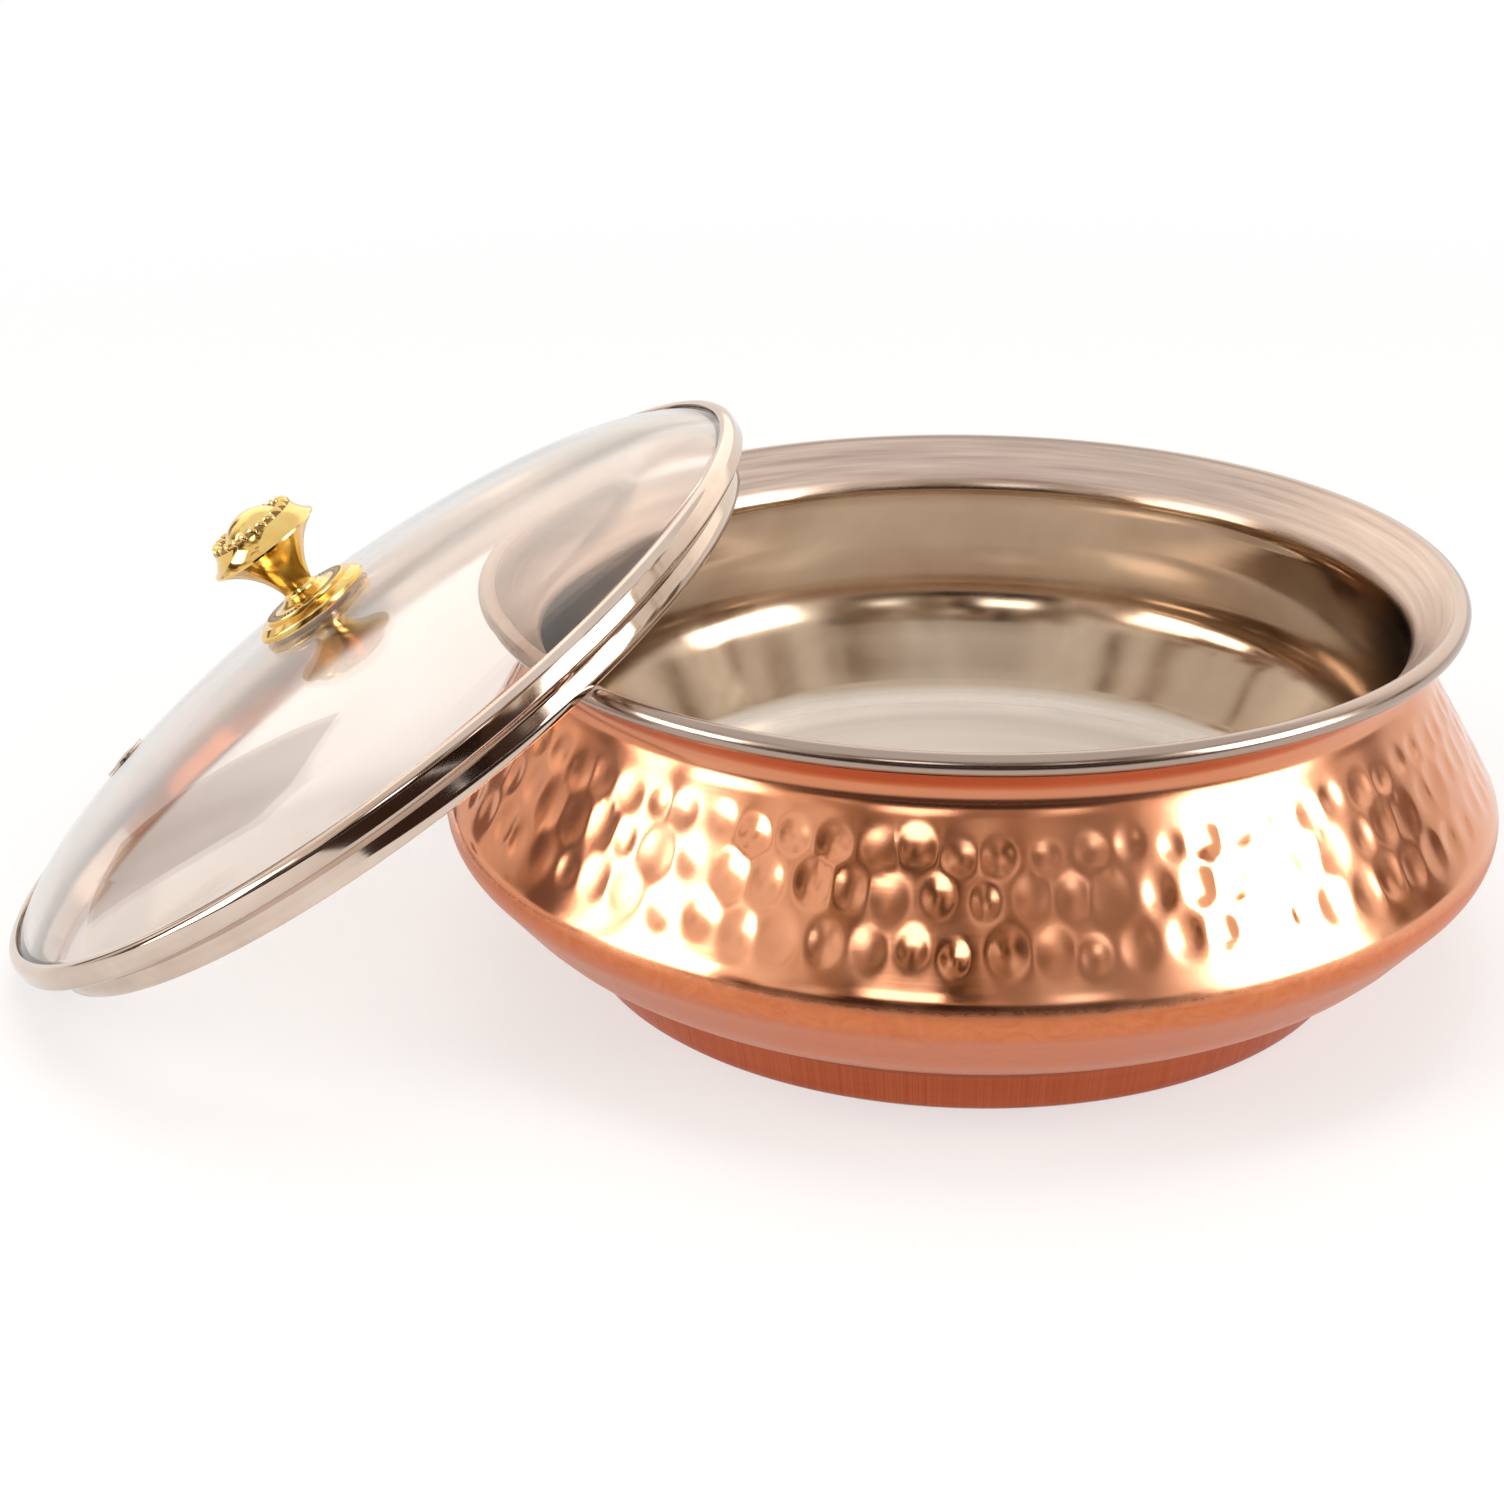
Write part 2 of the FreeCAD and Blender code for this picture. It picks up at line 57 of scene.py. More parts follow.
# %% Driving sizes
MM = 0.001
UV_PER_MM = 0.01
BEAD_CENTRE_R, BEAD_CENTRE_Z, BEAD_R = 92.0, 73.5, 2.0
STEEL_T, COPPER_T, SHEET_GAP = 0.6, 1.2, 0.2
NECK_R, NECK_Z, NECK_FILLET = 84.6, 65.5, 5.0
BELLY_R, BELLY_Z, BELLY_FILLET = 104.5, 31.3, 7.5
LOWER_R, LOWER_Z, LOWER_FILLET = 91.6, 16.0, 20.0
FOOT_TOP_R, FOOT_TOP_Z, FOOT_TOP_FILLET = 78.5, 8.6, 1.0
FOOT_R, FOOT_FILLET = 76.5, 1.8
BULGE_R, BULGE_Z, BULGE_FILLET = 91.0, 43.0, 22.0
FLOOR_R, FLOOR_Z, FLOOR_FILLET = 73.8, 17.0, 12.5

# %% [markdown]
# ## Turning an outline
# An outline is a run of corners (radius, height), and a third number rounds a corner with an arc. Long
# straight runs are cut into short ones where the surface will be dented, because a dent needs points
# to push. The turned mesh also gets a UV map: around the piece in U, along the outline in V. Brushed
# and polished marks run round a spun piece, so its finish follows that map.

# %% Outline helpers
ARC_STEP = math.radians(4)


def rounded(corners, longest=60.0):
    """Points along the corners, with arcs in place of the rounded ones and no run over longest."""
    points = [np.array(corners[0][:2], float)]
    for i in range(1, len(corners)):
        corner = np.array(corners[i][:2], float)
        fillet = corners[i][2] if len(corners[i]) > 2 else 0
        stop = [corner]
        if fillet > 0 and i < len(corners) - 1:
            back = np.array(corners[i - 1][:2], float) - corner
            ahead = np.array(corners[i + 1][:2], float) - corner
            back, ahead = back / np.linalg.norm(back), ahead / np.linalg.norm(ahead)
            half = math.acos(np.clip(back @ ahead, -1, 1)) / 2
            middle = (back + ahead) / np.linalg.norm(back + ahead)
            centre = corner + middle * fillet / math.sin(half)
            first = corner + back * fillet / math.tan(half) - centre
            sweep = math.pi - 2 * half
            turn = -1.0 if first[0] * ahead[1] - first[1] * ahead[0] < 0 else 1.0
            count = max(2, math.ceil(sweep / ARC_STEP))
            stop = []
            for k in range(count + 1):
                a = turn * sweep * k / count
                stop.append(centre + np.array([
                    first[0] * math.cos(a) - first[1] * math.sin(a),
                    first[0] * math.sin(a) + first[1] * math.cos(a)]))
        run = stop[0] - points[-1]
        pieces = math.ceil(np.linalg.norm(run) / longest)
        for _ in range(1, pieces):
            points.append(points[-1] + run / pieces)
        if np.linalg.norm(stop[0] - points[-1]) < 1e-6:
            stop = stop[1:]
        points += stop
    return points


def shifted(corners, distance):
    """The corners of a parallel outline, to the left of the way the corners run."""
    lines = []
    for a, b in zip(corners, corners[1:]):
        way = np.array([b[0] - a[0], b[1] - a[1]], float)
        way /= np.linalg.norm(way)
        lines.append((np.array(a[:2]) + distance * np.array([-way[1], way[0]]), way))
    moved = [tuple(lines[0][0])]
    for i in range(1, len(lines)):
        (p, u), (q, v) = lines[i - 1], lines[i]
        cross = u[0] * v[1] - u[1] * v[0]
        t = ((q[0] - p[0]) * v[1] - (q[1] - p[1]) * v[0]) / cross
        fillet = corners[i][2] if len(corners[i]) > 2 else 0
        wider = -distance if cross > 0 else distance
        moved.append((*(p + u * t), max(fillet + wider, 0) if fillet else 0))
    way = lines[-1][1]
    moved.append(tuple(np.array(corners[-1][:2]) + distance * np.array([-way[1], way[0]])))
    return moved


def arc(centre_r, centre_z, radius, from_deg, to_deg, step_deg=4.0):
    count = max(2, math.ceil(abs(to_deg - from_deg) / step_deg))
    angles = np.radians(np.linspace(from_deg, to_deg, count + 1))
    centre = np.array([centre_r, centre_z])
    return [centre + radius * np.array([math.cos(a), math.sin(a)]) for a in angles]

# %% Lathe
def lathe(name, points, segments, closed=False, place=None, sharp_deg=35):
    """Turn (radius, height) points in millimetres about Z into a mesh object, in metres."""
    points = [np.asarray(p, float) for p in points]
    clean = [points[0]]
    for p in points[1:]:
        if np.linalg.norm(p - clean[-1]) > 1e-5:
            clean.append(p)
    if closed and np.linalg.norm(clean[0] - clean[-1]) < 1e-5:
        clean.pop()
    rows = len(clean)
    runs = [np.linalg.norm(b - a) for a, b in zip(clean, clean[1:])]
    along = np.concatenate([[0], np.cumsum(runs)])
    whole = along[-1] + (np.linalg.norm(clean[0] - clean[-1]) if closed else 0)
    turn = 2 * np.pi * np.arange(segments) / segments
    verts, row_start = [], []
    for r, z in clean:
        row_start.append(len(verts))
        if r < 1e-6:
            verts.append((0.0, 0.0, z * MM))
        else:
            verts += [(r * MM * math.cos(a), r * MM * math.sin(a), z * MM) for a in turn]
    faces, uvs = [], []
    for i in range(rows if closed else rows - 1):
        j = (i + 1) % rows
        v0, v1 = along[i], (along[j] if j else whole)
        pole_i, pole_j = clean[i][0] < 1e-6, clean[j][0] < 1e-6
        for k in range(segments):
            m = (k + 1) % segments
            u0, u1 = k / segments, (k + 1) / segments
            a, b = row_start[i], row_start[j]
            if pole_i:
                faces.append((a, b + m, b + k))
                uvs += [((u0 + u1) / 2, v0), (u1, v1), (u0, v1)]
            elif pole_j:
                faces.append((a + k, a + m, b))
                uvs += [(u0, v0), (u1, v0), ((u0 + u1) / 2, v1)]
            else:
                faces.append((a + k, a + m, b + m, b + k))
                uvs += [(u0, v0), (u1, v0), (u1, v1), (u0, v1)]
    mesh = bpy.data.meshes.new(name)
    mesh.from_pydata(verts, [], faces)
    layer = mesh.uv_layers.new(name="turned")
    scaled = np.array([(u, v * UV_PER_MM) for u, v in uvs], np.float32)
    layer.data.foreach_set("uv", scaled.ravel())
    if place is not None:
        mesh.transform(place)
    mesh.shade_smooth()
    mesh.set_sharp_from_angle(angle=math.radians(sharp_deg))
    mesh.update()
    obj = bpy.data.objects.new(name, mesh)
    bpy.context.scene.collection.objects.link(obj)
    if volume(obj) < 0:
        mesh.flip_normals()
    print(name, "faces", len(mesh.polygons), "volume cm3", round(volume(obj) * 1e6, 2))
    return obj


def volume(obj):
    """The signed volume: above zero when the faces point outwards."""
    probe = bmesh.new()
    probe.from_mesh(obj.data)
    found = probe.calc_volume(signed=True)
    probe.free()
    return found

# %% [markdown]
# ## Shader groups
# A spun or turned surface carries very fine rings, soft polishing streaks that follow them, and
# smudges that follow nothing. Each effect is a node group, built once, that gives out a value. The
# rings read the turned UV map, bent into a circle so that it has no seam.

# %% Node helpers
def tree_node(tree, kind, values=None, **settings):
    """Add a node, set its properties, and link or set its inputs by name or number."""
    node = tree.nodes.new(kind)
    for key, value in settings.items():
        setattr(node, key, value)
    for key, value in (values or {}).items():
        socket = node.inputs[key]
        if isinstance(value, bpy.types.NodeSocket):
            tree.links.new(value, socket)
        else:
            socket.default_value = value
    return node


def math_node(tree, operation, a, b=0.0, c=0.0):
    return tree_node(tree, "ShaderNodeMath", {0: a, 1: b, 2: c}, operation=operation).outputs[0]


def times(tree, a, b):
    return math_node(tree, "MULTIPLY", a, b)


def plus(tree, a, b):
    return math_node(tree, "ADD", a, b)


def minus(tree, a, b):
    return math_node(tree, "SUBTRACT", a, b)


def weighted(tree, a, share, b):
    """A share of a, and of b what is left of one."""
    return math_node(tree, "MULTIPLY_ADD", a, share, times(tree, b, 1 - share))


def spread(tree, value, low, high, from_low=0.3, from_high=0.7, clamp=True):
    """Stretch a value's range, by default the middle of a noise, to run from low to high."""
    ends = {"From Min": from_low, "From Max": from_high, "To Min": low, "To Max": high}
    return tree_node(tree, "ShaderNodeMapRange", {"Value": value, **ends}, clamp=clamp).outputs[0]


def split(tree, vector):
    return tree_node(tree, "ShaderNodeSeparateXYZ", {0: vector}).outputs


def joined(tree, x, y, z):
    return tree_node(tree, "ShaderNodeCombineXYZ", {0: x, 1: y, 2: z}).outputs[0]


def noise(tree, spot, scale, detail, **more):
    values = {"Vector": spot, "Scale": scale, "Detail": detail, **more}
    return tree_node(tree, "ShaderNodeTexNoise", values).outputs[0]


def object_spot(tree):
    return tree_node(tree, "ShaderNodeTexCoord").outputs["Object"]


def turned_map(tree):
    """The turned UV map's parts: round the piece, and along its outline."""
    return split(tree, tree_node(tree, "ShaderNodeUVMap", uv_map="turned").outputs[0])


def bent_round(tree, around, size):
    """The part that runs round the piece, bent into a circle, so that it has no seam."""
    angle = times(tree, around, 2 * math.pi)
    return [times(tree, math_node(tree, way, angle), size) for way in ("COSINE", "SINE")]


def group_tree(name, inputs, outputs, kind="ShaderNodeTree"):
    tree = bpy.data.node_groups.new(name, kind)
    for label, socket, value in inputs:
        made = tree.interface.new_socket(label, in_out="INPUT", socket_type=socket)
        if value is not None:
            made.default_value = value
    for label, socket in outputs:
        tree.interface.new_socket(label, in_out="OUTPUT", socket_type=socket)
    return tree, tree.nodes.new("NodeGroupInput"), tree.nodes.new("NodeGroupOutput")

# %% Rings left by spinning and polishing
def ring_group():
    tree, given, out = group_tree(
        "spun rings",
        [("Rings per cm", "NodeSocketFloat", 20.0), ("Break up", "NodeSocketFloat", 0.6),
         ("Detail", "NodeSocketFloat", 3.0)],
        [("Rings", "NodeSocketFloat")])
    uv = turned_map(tree)
    x, y = bent_round(tree, uv[0], given.outputs["Break up"])
    spot = joined(tree, x, y, times(tree, uv[1], given.outputs["Rings per cm"]))
    rings = noise(tree, spot, 1.0, given.outputs["Detail"], Roughness=0.6)
    tree.links.new(rings, out.inputs[0])
    return tree

# %% Marks that run across the rings, such as tool chatter
CHATTER_ALONG, CHATTER_SCALE = 3.0, 0.16


def chatter_group():
    tree, given, out = group_tree(
        "chatter", [("Marks round", "NodeSocketFloat", 400.0)], [("Marks", "NodeSocketFloat")])
    uv = turned_map(tree)
    x, y = bent_round(tree, uv[0], given.outputs["Marks round"])
    spot = joined(tree, x, y, times(tree, uv[1], CHATTER_ALONG))
    tree.links.new(noise(tree, spot, CHATTER_SCALE, 2.0), out.inputs[0])
    return tree

# %% Smudges and cloudy polish
def smudge_group():
    tree, given, out = group_tree(
        "smudges",
        [("Size", "NodeSocketFloat", 30.0), ("Contrast", "NodeSocketFloat", 0.3)],
        [("Smudge", "NodeSocketFloat")])
    size = given.outputs["Size"]
    cloud = noise(tree, object_spot(tree), size, 4.0, Roughness=0.55, Distortion=0.4)
    half = times(tree, given.outputs["Contrast"], 0.5)
    smudge = spread(tree, cloud, minus(tree, 0.5, half), plus(tree, 0.5, half))
    tree.links.new(smudge, out.inputs[0])
    return tree


RINGS, CHATTER, SMUDGES = ring_group(), chatter_group(), smudge_group()
print("shader groups", [g.name for g in (RINGS, CHATTER, SMUDGES)])

# %% Material helpers
def use(tree, group, **values):
    """Place a group in a material with its own values; an underscore stands for a space."""
    node = tree.nodes.new("ShaderNodeGroup")
    node.node_tree = group
    for key, value in values.items():
        node.inputs[key.replace("_", " ")].default_value = value
    return node.outputs[0]


def new_material(name):
    """A material with a bare Principled shader; gives back the material, its tree and that shader."""
    made = bpy.data.materials.new(name)
    made.use_nodes = True
    tree = made.node_tree
    return made, tree, tree.nodes["Principled BSDF"]


def blend_colours(tree, factor, first, second):
    """Mix two colours, each a socket or three numbers."""
    node = tree_node(tree, "ShaderNodeMix", {0: factor}, data_type="RGBA")
    for index, value in ((6, first), (7, second)):
        if isinstance(value, bpy.types.NodeSocket):
            tree.links.new(value, node.inputs[index])
        else:
            node.inputs[index].default_value = (*value, 1)
    return node.outputs[2]


def blend_values(tree, factor, first, second):
    return tree_node(tree, "ShaderNodeMix", {0: factor, 2: first, 3: second}).outputs[0]


def coat(tree, shader, colour, rough, metallic=1.0):
    """Give the shader its colour and roughness, which vary, and its metallic share."""
    tree.links.new(colour, shader.inputs["Base Color"])
    tree.links.new(rough, shader.inputs["Roughness"])
    shader.inputs["Metallic"].default_value = metallic


def bump(tree, shader, height, distance, strength=1.0, before=None):
    """Fine relief on a shader's normal: distance, in metres, is how high a height of one stands."""
    values = {"Height": height, "Distance": distance, "Strength": strength}
    node = tree_node(tree, "ShaderNodeBump", values)
    if before is not None:
        tree.links.new(before, node.inputs["Normal"])
    tree.links.new(node.outputs[0], shader.inputs["Normal"])
    return node.outputs[0]


def clouded(name, size, dark, light, rough_low, rough_high, metallic=1.0):
    """A finish that only smudges vary, for small plain pieces."""
    made, tree, shader = new_material(name)
    cloud = use(tree, SMUDGES, Size=size, Contrast=1.0)
    rough = spread(tree, cloud, rough_low, rough_high)
    coat(tree, shader, blend_colours(tree, cloud, dark, light), rough, metallic)
    return made

# %% [markdown]
# ## Copper
# Fresh copper is pinkish orange. The hammered shoulder and the neck are buffed like a mirror, the
# underside of the belly is satin with faint mottled marks, and the foot has tool chatter across it.
# The foot is painted a darker red as painted shade under the belly, a dark line of painted shade runs
# in the crease at its top, and dark bands round the neck are painted reflection and shade under the
# bead. The zones follow the height on the pot, so one material does them all.

# %% Copper material
# Heights, in metres, over which one finish gives way to the next
FOOT_EDGE, BELLY_EDGE, NECK_EDGE = (0.0078, 0.0092), (0.0325, 0.0350), (0.0600, 0.0640)
# Height in metres of the painted shade line in the crease at the top of the foot, and the distances
# from it over which that shade fades
CREASE_Z, CREASE_EDGE = 0.0088, (0.0002, 0.0011)


def copper_material():
    made, tree, shader = new_material("hammered copper")
    spot = object_spot(tree)
    height = split(tree, spot)[2]
    polished = spread(tree, height, 0.0, 1.0, *BELLY_EDGE)
    foot = spread(tree, height, 1.0, 0.0, *FOOT_EDGE)
    neck = spread(tree, height, 0.0, 1.0, *NECK_EDGE)
    cloud = use(tree, SMUDGES, Size=26.0, Contrast=1.0)
    rings = use(tree, RINGS, Rings_per_cm=9.0, Break_up=0.35, Detail=4.0)
    fine = use(tree, RINGS, Rings_per_cm=60.0, Break_up=0.9, Detail=2.0)
    marks = use(tree, CHATTER, Marks_round=1500.0)
    mottle = noise(tree, spot, 190.0, 3.0, Distortion=2.2)

    bright = blend_colours(tree, cloud, (0.73, 0.300, 0.150), (0.84, 0.410, 0.250))
    mottled = spread(tree, weighted(tree, mottle, 0.6, rings), 0, 1, 0.35, 0.65)
    satin = blend_colours(tree, mottled, (0.56, 0.160, 0.064), (0.66, 0.225, 0.098))
    lined = spread(tree, weighted(tree, marks, 0.35, rings), 0, 1, 0.38, 0.62)
    # The foot is painted a darker red, painted shade under the belly's overhang; the chatter lines that
    # vary it are real tool marks
    foot_chatter_and_shade = blend_colours(tree, lined, (0.40, 0.088, 0.036), (0.54, 0.145, 0.064))
    # Painted shade: a dark line painted into the crease at the top of the foot
    from_crease = math_node(tree, "ABSOLUTE", minus(tree, height, CREASE_Z))
    crease_shade = spread(tree, from_crease, 1.0, 0.0, *CREASE_EDGE)
    foot_chatter_and_shade = blend_colours(tree, crease_shade, foot_chatter_and_shade, (0.10, 0.014, 0.006))
    colour = blend_colours(tree, polished, blend_colours(tree, foot, satin, foot_chatter_and_shade), bright)
    # Painted reflection and painted shade: dark bands, following the rings, painted round the neck
    # under the bead
    neck_painted_bands = blend_colours(tree, spread(tree, rings, 0.0, 0.55), colour, (0.42, 0.105, 0.042))
    colour = blend_colours(tree, neck, colour, neck_painted_bands)

    mirror, banded = spread(tree, cloud, 0.09, 0.19), spread(tree, rings, 0.14, 0.26)
    dull = spread(tree, mottle, 0.30, 0.42)
    rough = blend_values(tree, polished, dull, blend_values(tree, neck, mirror, banded))
    coat(tree, shader, colour, rough)
    lines = bump(tree, shader, fine, 0.000012, 0.5)
    crossed = bump(tree, shader, times(tree, marks, foot), 0.00006, 0.6, lines)
    dimpled = times(tree, mottle, minus(tree, 1.0, polished))
    bump(tree, shader, dimpled, 0.00005, 0.4, crossed)
    return made


COPPER = copper_material()

# %% [markdown]
# ## Hammered copper shell
# On the bench this is one disc of copper spun over a chuck, then hammered in three rows round its
# shoulder. The turned mesh gives the spun form. Every hammer mark is one point with three vectors:
# which way it is wide, which way it is tall and which way it was struck. A Geometry Nodes tree then
# lets every point of the shell find its nearest mark and sink by what that mark says, which leaves
# soft ridges between neighbours, as hammering does.

# %% Flare of the neck, shared by both sheets
def flare_frame():
    """The steel's visible neck corner, and the unit direction of the flare from it to the bead."""
    inward = COPPER_T + SHEET_GAP + STEEL_T
    shoulder = math.atan2(BELLY_R - NECK_R, NECK_Z - BELLY_Z)
    slope = math.radians(40)
    for _ in range(30):
        half = (math.pi - slope - shoulder) / 2
        lean = (slope - shoulder) / 2
        r = NECK_R - inward / math.sin(half) * math.cos(lean)
        z = NECK_Z + inward / math.sin(half) * math.sin(lean)
        dr, dz = BEAD_CENTRE_R - r, BEAD_CENTRE_Z - z
        slope = math.atan2(dr, dz) - math.asin(BEAD_R / math.hypot(dr, dz))
    return r, z, slope


THROAT_R, THROAT_Z, FLARE = flare_frame()
print("flare slope, degrees", round(math.degrees(FLARE), 2))


def copper_corners():
    """The copper's outside, from the rim down to the middle of the base."""
    up = (math.sin(FLARE), math.cos(FLARE))
    back = (BEAD_CENTRE_R - NECK_R) * up[0] + (BEAD_CENTRE_Z - NECK_Z) * up[1] + SHEET_GAP
    return [
        (NECK_R + up[0] * back, NECK_Z + up[1] * back),
        (NECK_R, NECK_Z, NECK_FILLET),
        (BELLY_R, BELLY_Z, BELLY_FILLET),
        (LOWER_R, LOWER_Z, LOWER_FILLET),
        (FOOT_TOP_R, FOOT_TOP_Z, FOOT_TOP_FILLET),
        (FOOT_R, 0, FOOT_FILLET),
        (0, 0),
    ]

# %% Hammer marks as points
# Each row gives the height, width and tallness of its marks, in millimetres
MARKS_PER_ROW = 80
MARK_DEPTH, MARK_SPREAD, MARK_DRIFT = 0.26, 0.25, 0.8
MARK_ROWS = [(56.6, 5.9, 6.2), (50.0, 6.4, 8.4), (42.2, 6.5, 8.0)]


def wobble(row, index, kind):
    """A steady pseudo-random number from -1 to 1, the same for the same mark."""
    value = math.sin(12.9898 * (index + 1) + 78.233 * (row + 1) + 37.719 * kind) * 43758.5453
    return 2 * (value - math.floor(value)) - 1


def hammer_marks():
    """A mesh of loose points, one for each mark, that carries the mark's three vectors."""
    slope = math.atan2(BELLY_R - NECK_R, NECK_Z - BELLY_Z)
    spots, across, upward, struck = [], [], [], []
    for row, (z, width, tall) in enumerate(MARK_ROWS):
        for index in range(MARKS_PER_ROW):
            grow = 1 + MARK_SPREAD * wobble(row, index, 1)
            depth = MARK_DEPTH * (1 + MARK_SPREAD * wobble(row, index, 2))
            high = z + MARK_DRIFT * wobble(row, index, 3)
            turn = index + 0.5 * (row % 2) + MARK_DRIFT * wobble(row, index, 4) / 6
            a = 2 * math.pi / MARKS_PER_ROW * turn
            r = NECK_R + (NECK_Z - high) * math.tan(slope)
            level = math.cos(slope)
            out = Vector((math.cos(a) * level, math.sin(a) * level, math.sin(slope)))
            side = Vector((-math.sin(a), math.cos(a), 0))
            spots.append((r * MM * math.cos(a), r * MM * math.sin(a), high * MM))
            across.append(side / (width * grow / 2 * MM))
            upward.append(out.cross(side) / (tall * grow / 2 * MM))
            struck.append(-out * depth * MM)
    mesh = bpy.data.meshes.new("hammer marks")
    mesh.from_pydata(spots, [], [])
    for label, vectors in (("across", across), ("upward", upward), ("struck", struck)):
        layer = mesh.attributes.new(label, "FLOAT_VECTOR", "POINT")
        layer.data.foreach_set("vector", np.array(vectors, np.float32).ravel())
    made = bpy.data.objects.new("hammer marks", mesh)
    bpy.context.scene.collection.objects.link(made)
    print("hammer marks", len(spots))
    return made

# %% The tree that strikes the shell
def hammer_tree():
    tree, given, out = group_tree(
        "hammer the shell",
        [("Shell", "NodeSocketGeometry", None), ("Marks", "NodeSocketObject", None),
         ("Softness", "NodeSocketFloat", 0.10), ("Finish", "NodeSocketMaterial", None)],
        [("Shell", "NodeSocketGeometry")], "GeometryNodeTree")

    def add(kind, values=None, **settings):
        return tree_node(tree, "GeometryNode" + kind, values, **settings).outputs

    def at_mark(field):
        """A field's value at the nearest mark."""
        values = {"Geometry": marks, "Value": field, "Index": nearest}
        return add("SampleIndex", values, data_type="FLOAT_VECTOR", domain="POINT")[0]

    def carried(label, kind="FLOAT_VECTOR"):
        return add("InputNamedAttribute", {"Name": label}, data_type=kind)[0]

    def vector_math(operation, values):
        return tree_node(tree, "ShaderNodeVectorMath", values, operation=operation).outputs

    marks = add("ObjectInfo", {"Object": given.outputs["Marks"]})["Geometry"]
    nearest = add("SampleNearest", {"Geometry": marks}, domain="POINT")[0]
    here = add("InputPosition")[0]
    away = vector_math("SUBTRACT", {0: here, 1: at_mark(here)})[0]
    wide = vector_math("DOT_PRODUCT", {0: away, 1: at_mark(carried("across"))})["Value"]
    tall = vector_math("DOT_PRODUCT", {0: away, 1: at_mark(carried("upward"))})["Value"]
    bowl = minus(tree, 1.0, plus(tree, times(tree, wide, wide), times(tree, tall, tall)))
    soft = plus(tree, times(tree, bowl, bowl), given.outputs["Softness"])
    sink = times(tree, plus(tree, bowl, math_node(tree, "SQRT", soft)), 0.5)
    sink = times(tree, sink, carried("outside", "FLOAT"))
    push = vector_math("SCALE", {0: at_mark(carried("struck")), "Scale": sink})[0]
    moved = add("SetPosition", {"Geometry": given.outputs["Shell"], "Offset": push})[0]
    whole = add("RealizeInstances", {0: moved})[0]
    done = add("SetMaterial", {"Geometry": whole, "Material": given.outputs["Finish"]})[0]
    tree.links.new(done, out.inputs[0])
    return tree


def run_tree(obj, tree, values):
    """Run a Geometry Nodes tree on an object and keep the result as its plain mesh."""
    step = obj.modifiers.new(tree.name, "NODES")
    step.node_group = tree
    for item in tree.interface.items_tree:
        if item.in_out == "INPUT" and item.name in values:
            step[item.identifier] = values[item.name]
    keep_result(obj, step)


def keep_result(obj, step):
    """Take what a modifier makes as the object's mesh, and remove the modifier."""
    bpy.context.view_layer.update()
    seen = obj.evaluated_get(bpy.context.evaluated_depsgraph_get())
    mesh = bpy.data.meshes.new_from_object(seen)
    obj.modifiers.remove(step)
    obj.data = mesh

# %% Spin and hammer the shell
# Rows of points lie closest where the shell is hammered, and close where it bends
HAMMERED_LOW, HAMMERED_HIGH, HAMMERED_R = 36.5, 61.5, 86.0
FOOT_BEND_HIGH, BELLY_BEND_LOW, NECK_BEND_HIGH = 11.0, 25.0, 69.0
HAMMERED_GAP, BEND_GAP, PLAIN_GAP = 0.50, 1.0, 2.6
SKIN_RUN, LINING_RUN, SEGMENTS_PER_MARK = 0.5, 30.0, 13
# The marks fade out between these heights, so that they reach neither the belly nor the neck
STRUCK_LOW, STRUCK_HIGH, STRUCK_FADE = 34.0, 64.5, 2


def row_gap(r, z):
    if HAMMERED_LOW < z < HAMMERED_HIGH and r > HAMMERED_R:
        return HAMMERED_GAP
    belly, neck = BELLY_BEND_LOW < z < HAMMERED_LOW, HAMMERED_HIGH <= z < NECK_BEND_HIGH
    return BEND_GAP if z < FOOT_BEND_HIGH or belly or neck else PLAIN_GAP


def copper_shell():
    outside = copper_corners()
    inside = shifted(outside, -COPPER_T)
    inside[-1] = (0, inside[-1][1])
    skin = rounded(outside, SKIN_RUN)
    rows = [skin[0]]
    for p in skin[1:]:
        if np.linalg.norm(p - rows[-1]) >= row_gap(*p) or p is skin[-1]:
            rows.append(p)
    lining = rounded(inside, LINING_RUN)[::-1]
    segments = SEGMENTS_PER_MARK * MARKS_PER_ROW
    shell = lathe("copper_shell", lining + rows, segments)
    count = len(shell.data.vertices)
    spots = np.empty(3 * count, np.float32)
    shell.data.vertices.foreach_get("co", spots)
    z = spots[2::3] / MM
    above = np.clip((z - STRUCK_LOW) / STRUCK_FADE, 0, 1)
    below = np.clip((STRUCK_HIGH - z) / STRUCK_FADE, 0, 1)
    on_skin = np.arange(count) >= 1 + (len(lining) - 1) * segments
    flag = shell.data.attributes.new("outside", "FLOAT", "POINT")
    flag.data.foreach_set("value", (on_skin * above * below).astype(np.float32))
    print("outer rows", len(rows), "lining rows", len(lining))
    marks = hammer_marks()
    run_tree(shell, hammer_tree(), {"Marks": marks, "Finish": COPPER})
    bpy.data.objects.remove(marks)
    shell.data.shade_smooth()
    return shell


shell = copper_shell()
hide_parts("outer_shell")
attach(shell, "root")

# %% [markdown]
# ## Steel
# The inner bowl is stainless steel. Its flange has a fine satin grain that runs round it, its bead is
# bright polished steel, its wall is buffed so well that it mirrors the room in long streaks, and its
# floor carries faint polishing rings. The steel is painted a warm grey, a painted reflection of the
# warm room round it; the bead is painted darker and the floor pale, painted reflections of what lies in
# front and above.

# %% Steel materials
# Heights, and for the bead the radius, in metres, over which one finish gives way to the next
BASE_EDGE, FLANGE_EDGE, BEAD_EDGE = (0.0176, 0.0215), (0.0655, 0.0672), (0.0905, 0.0912)
BAND_GRAIN = 0.000004


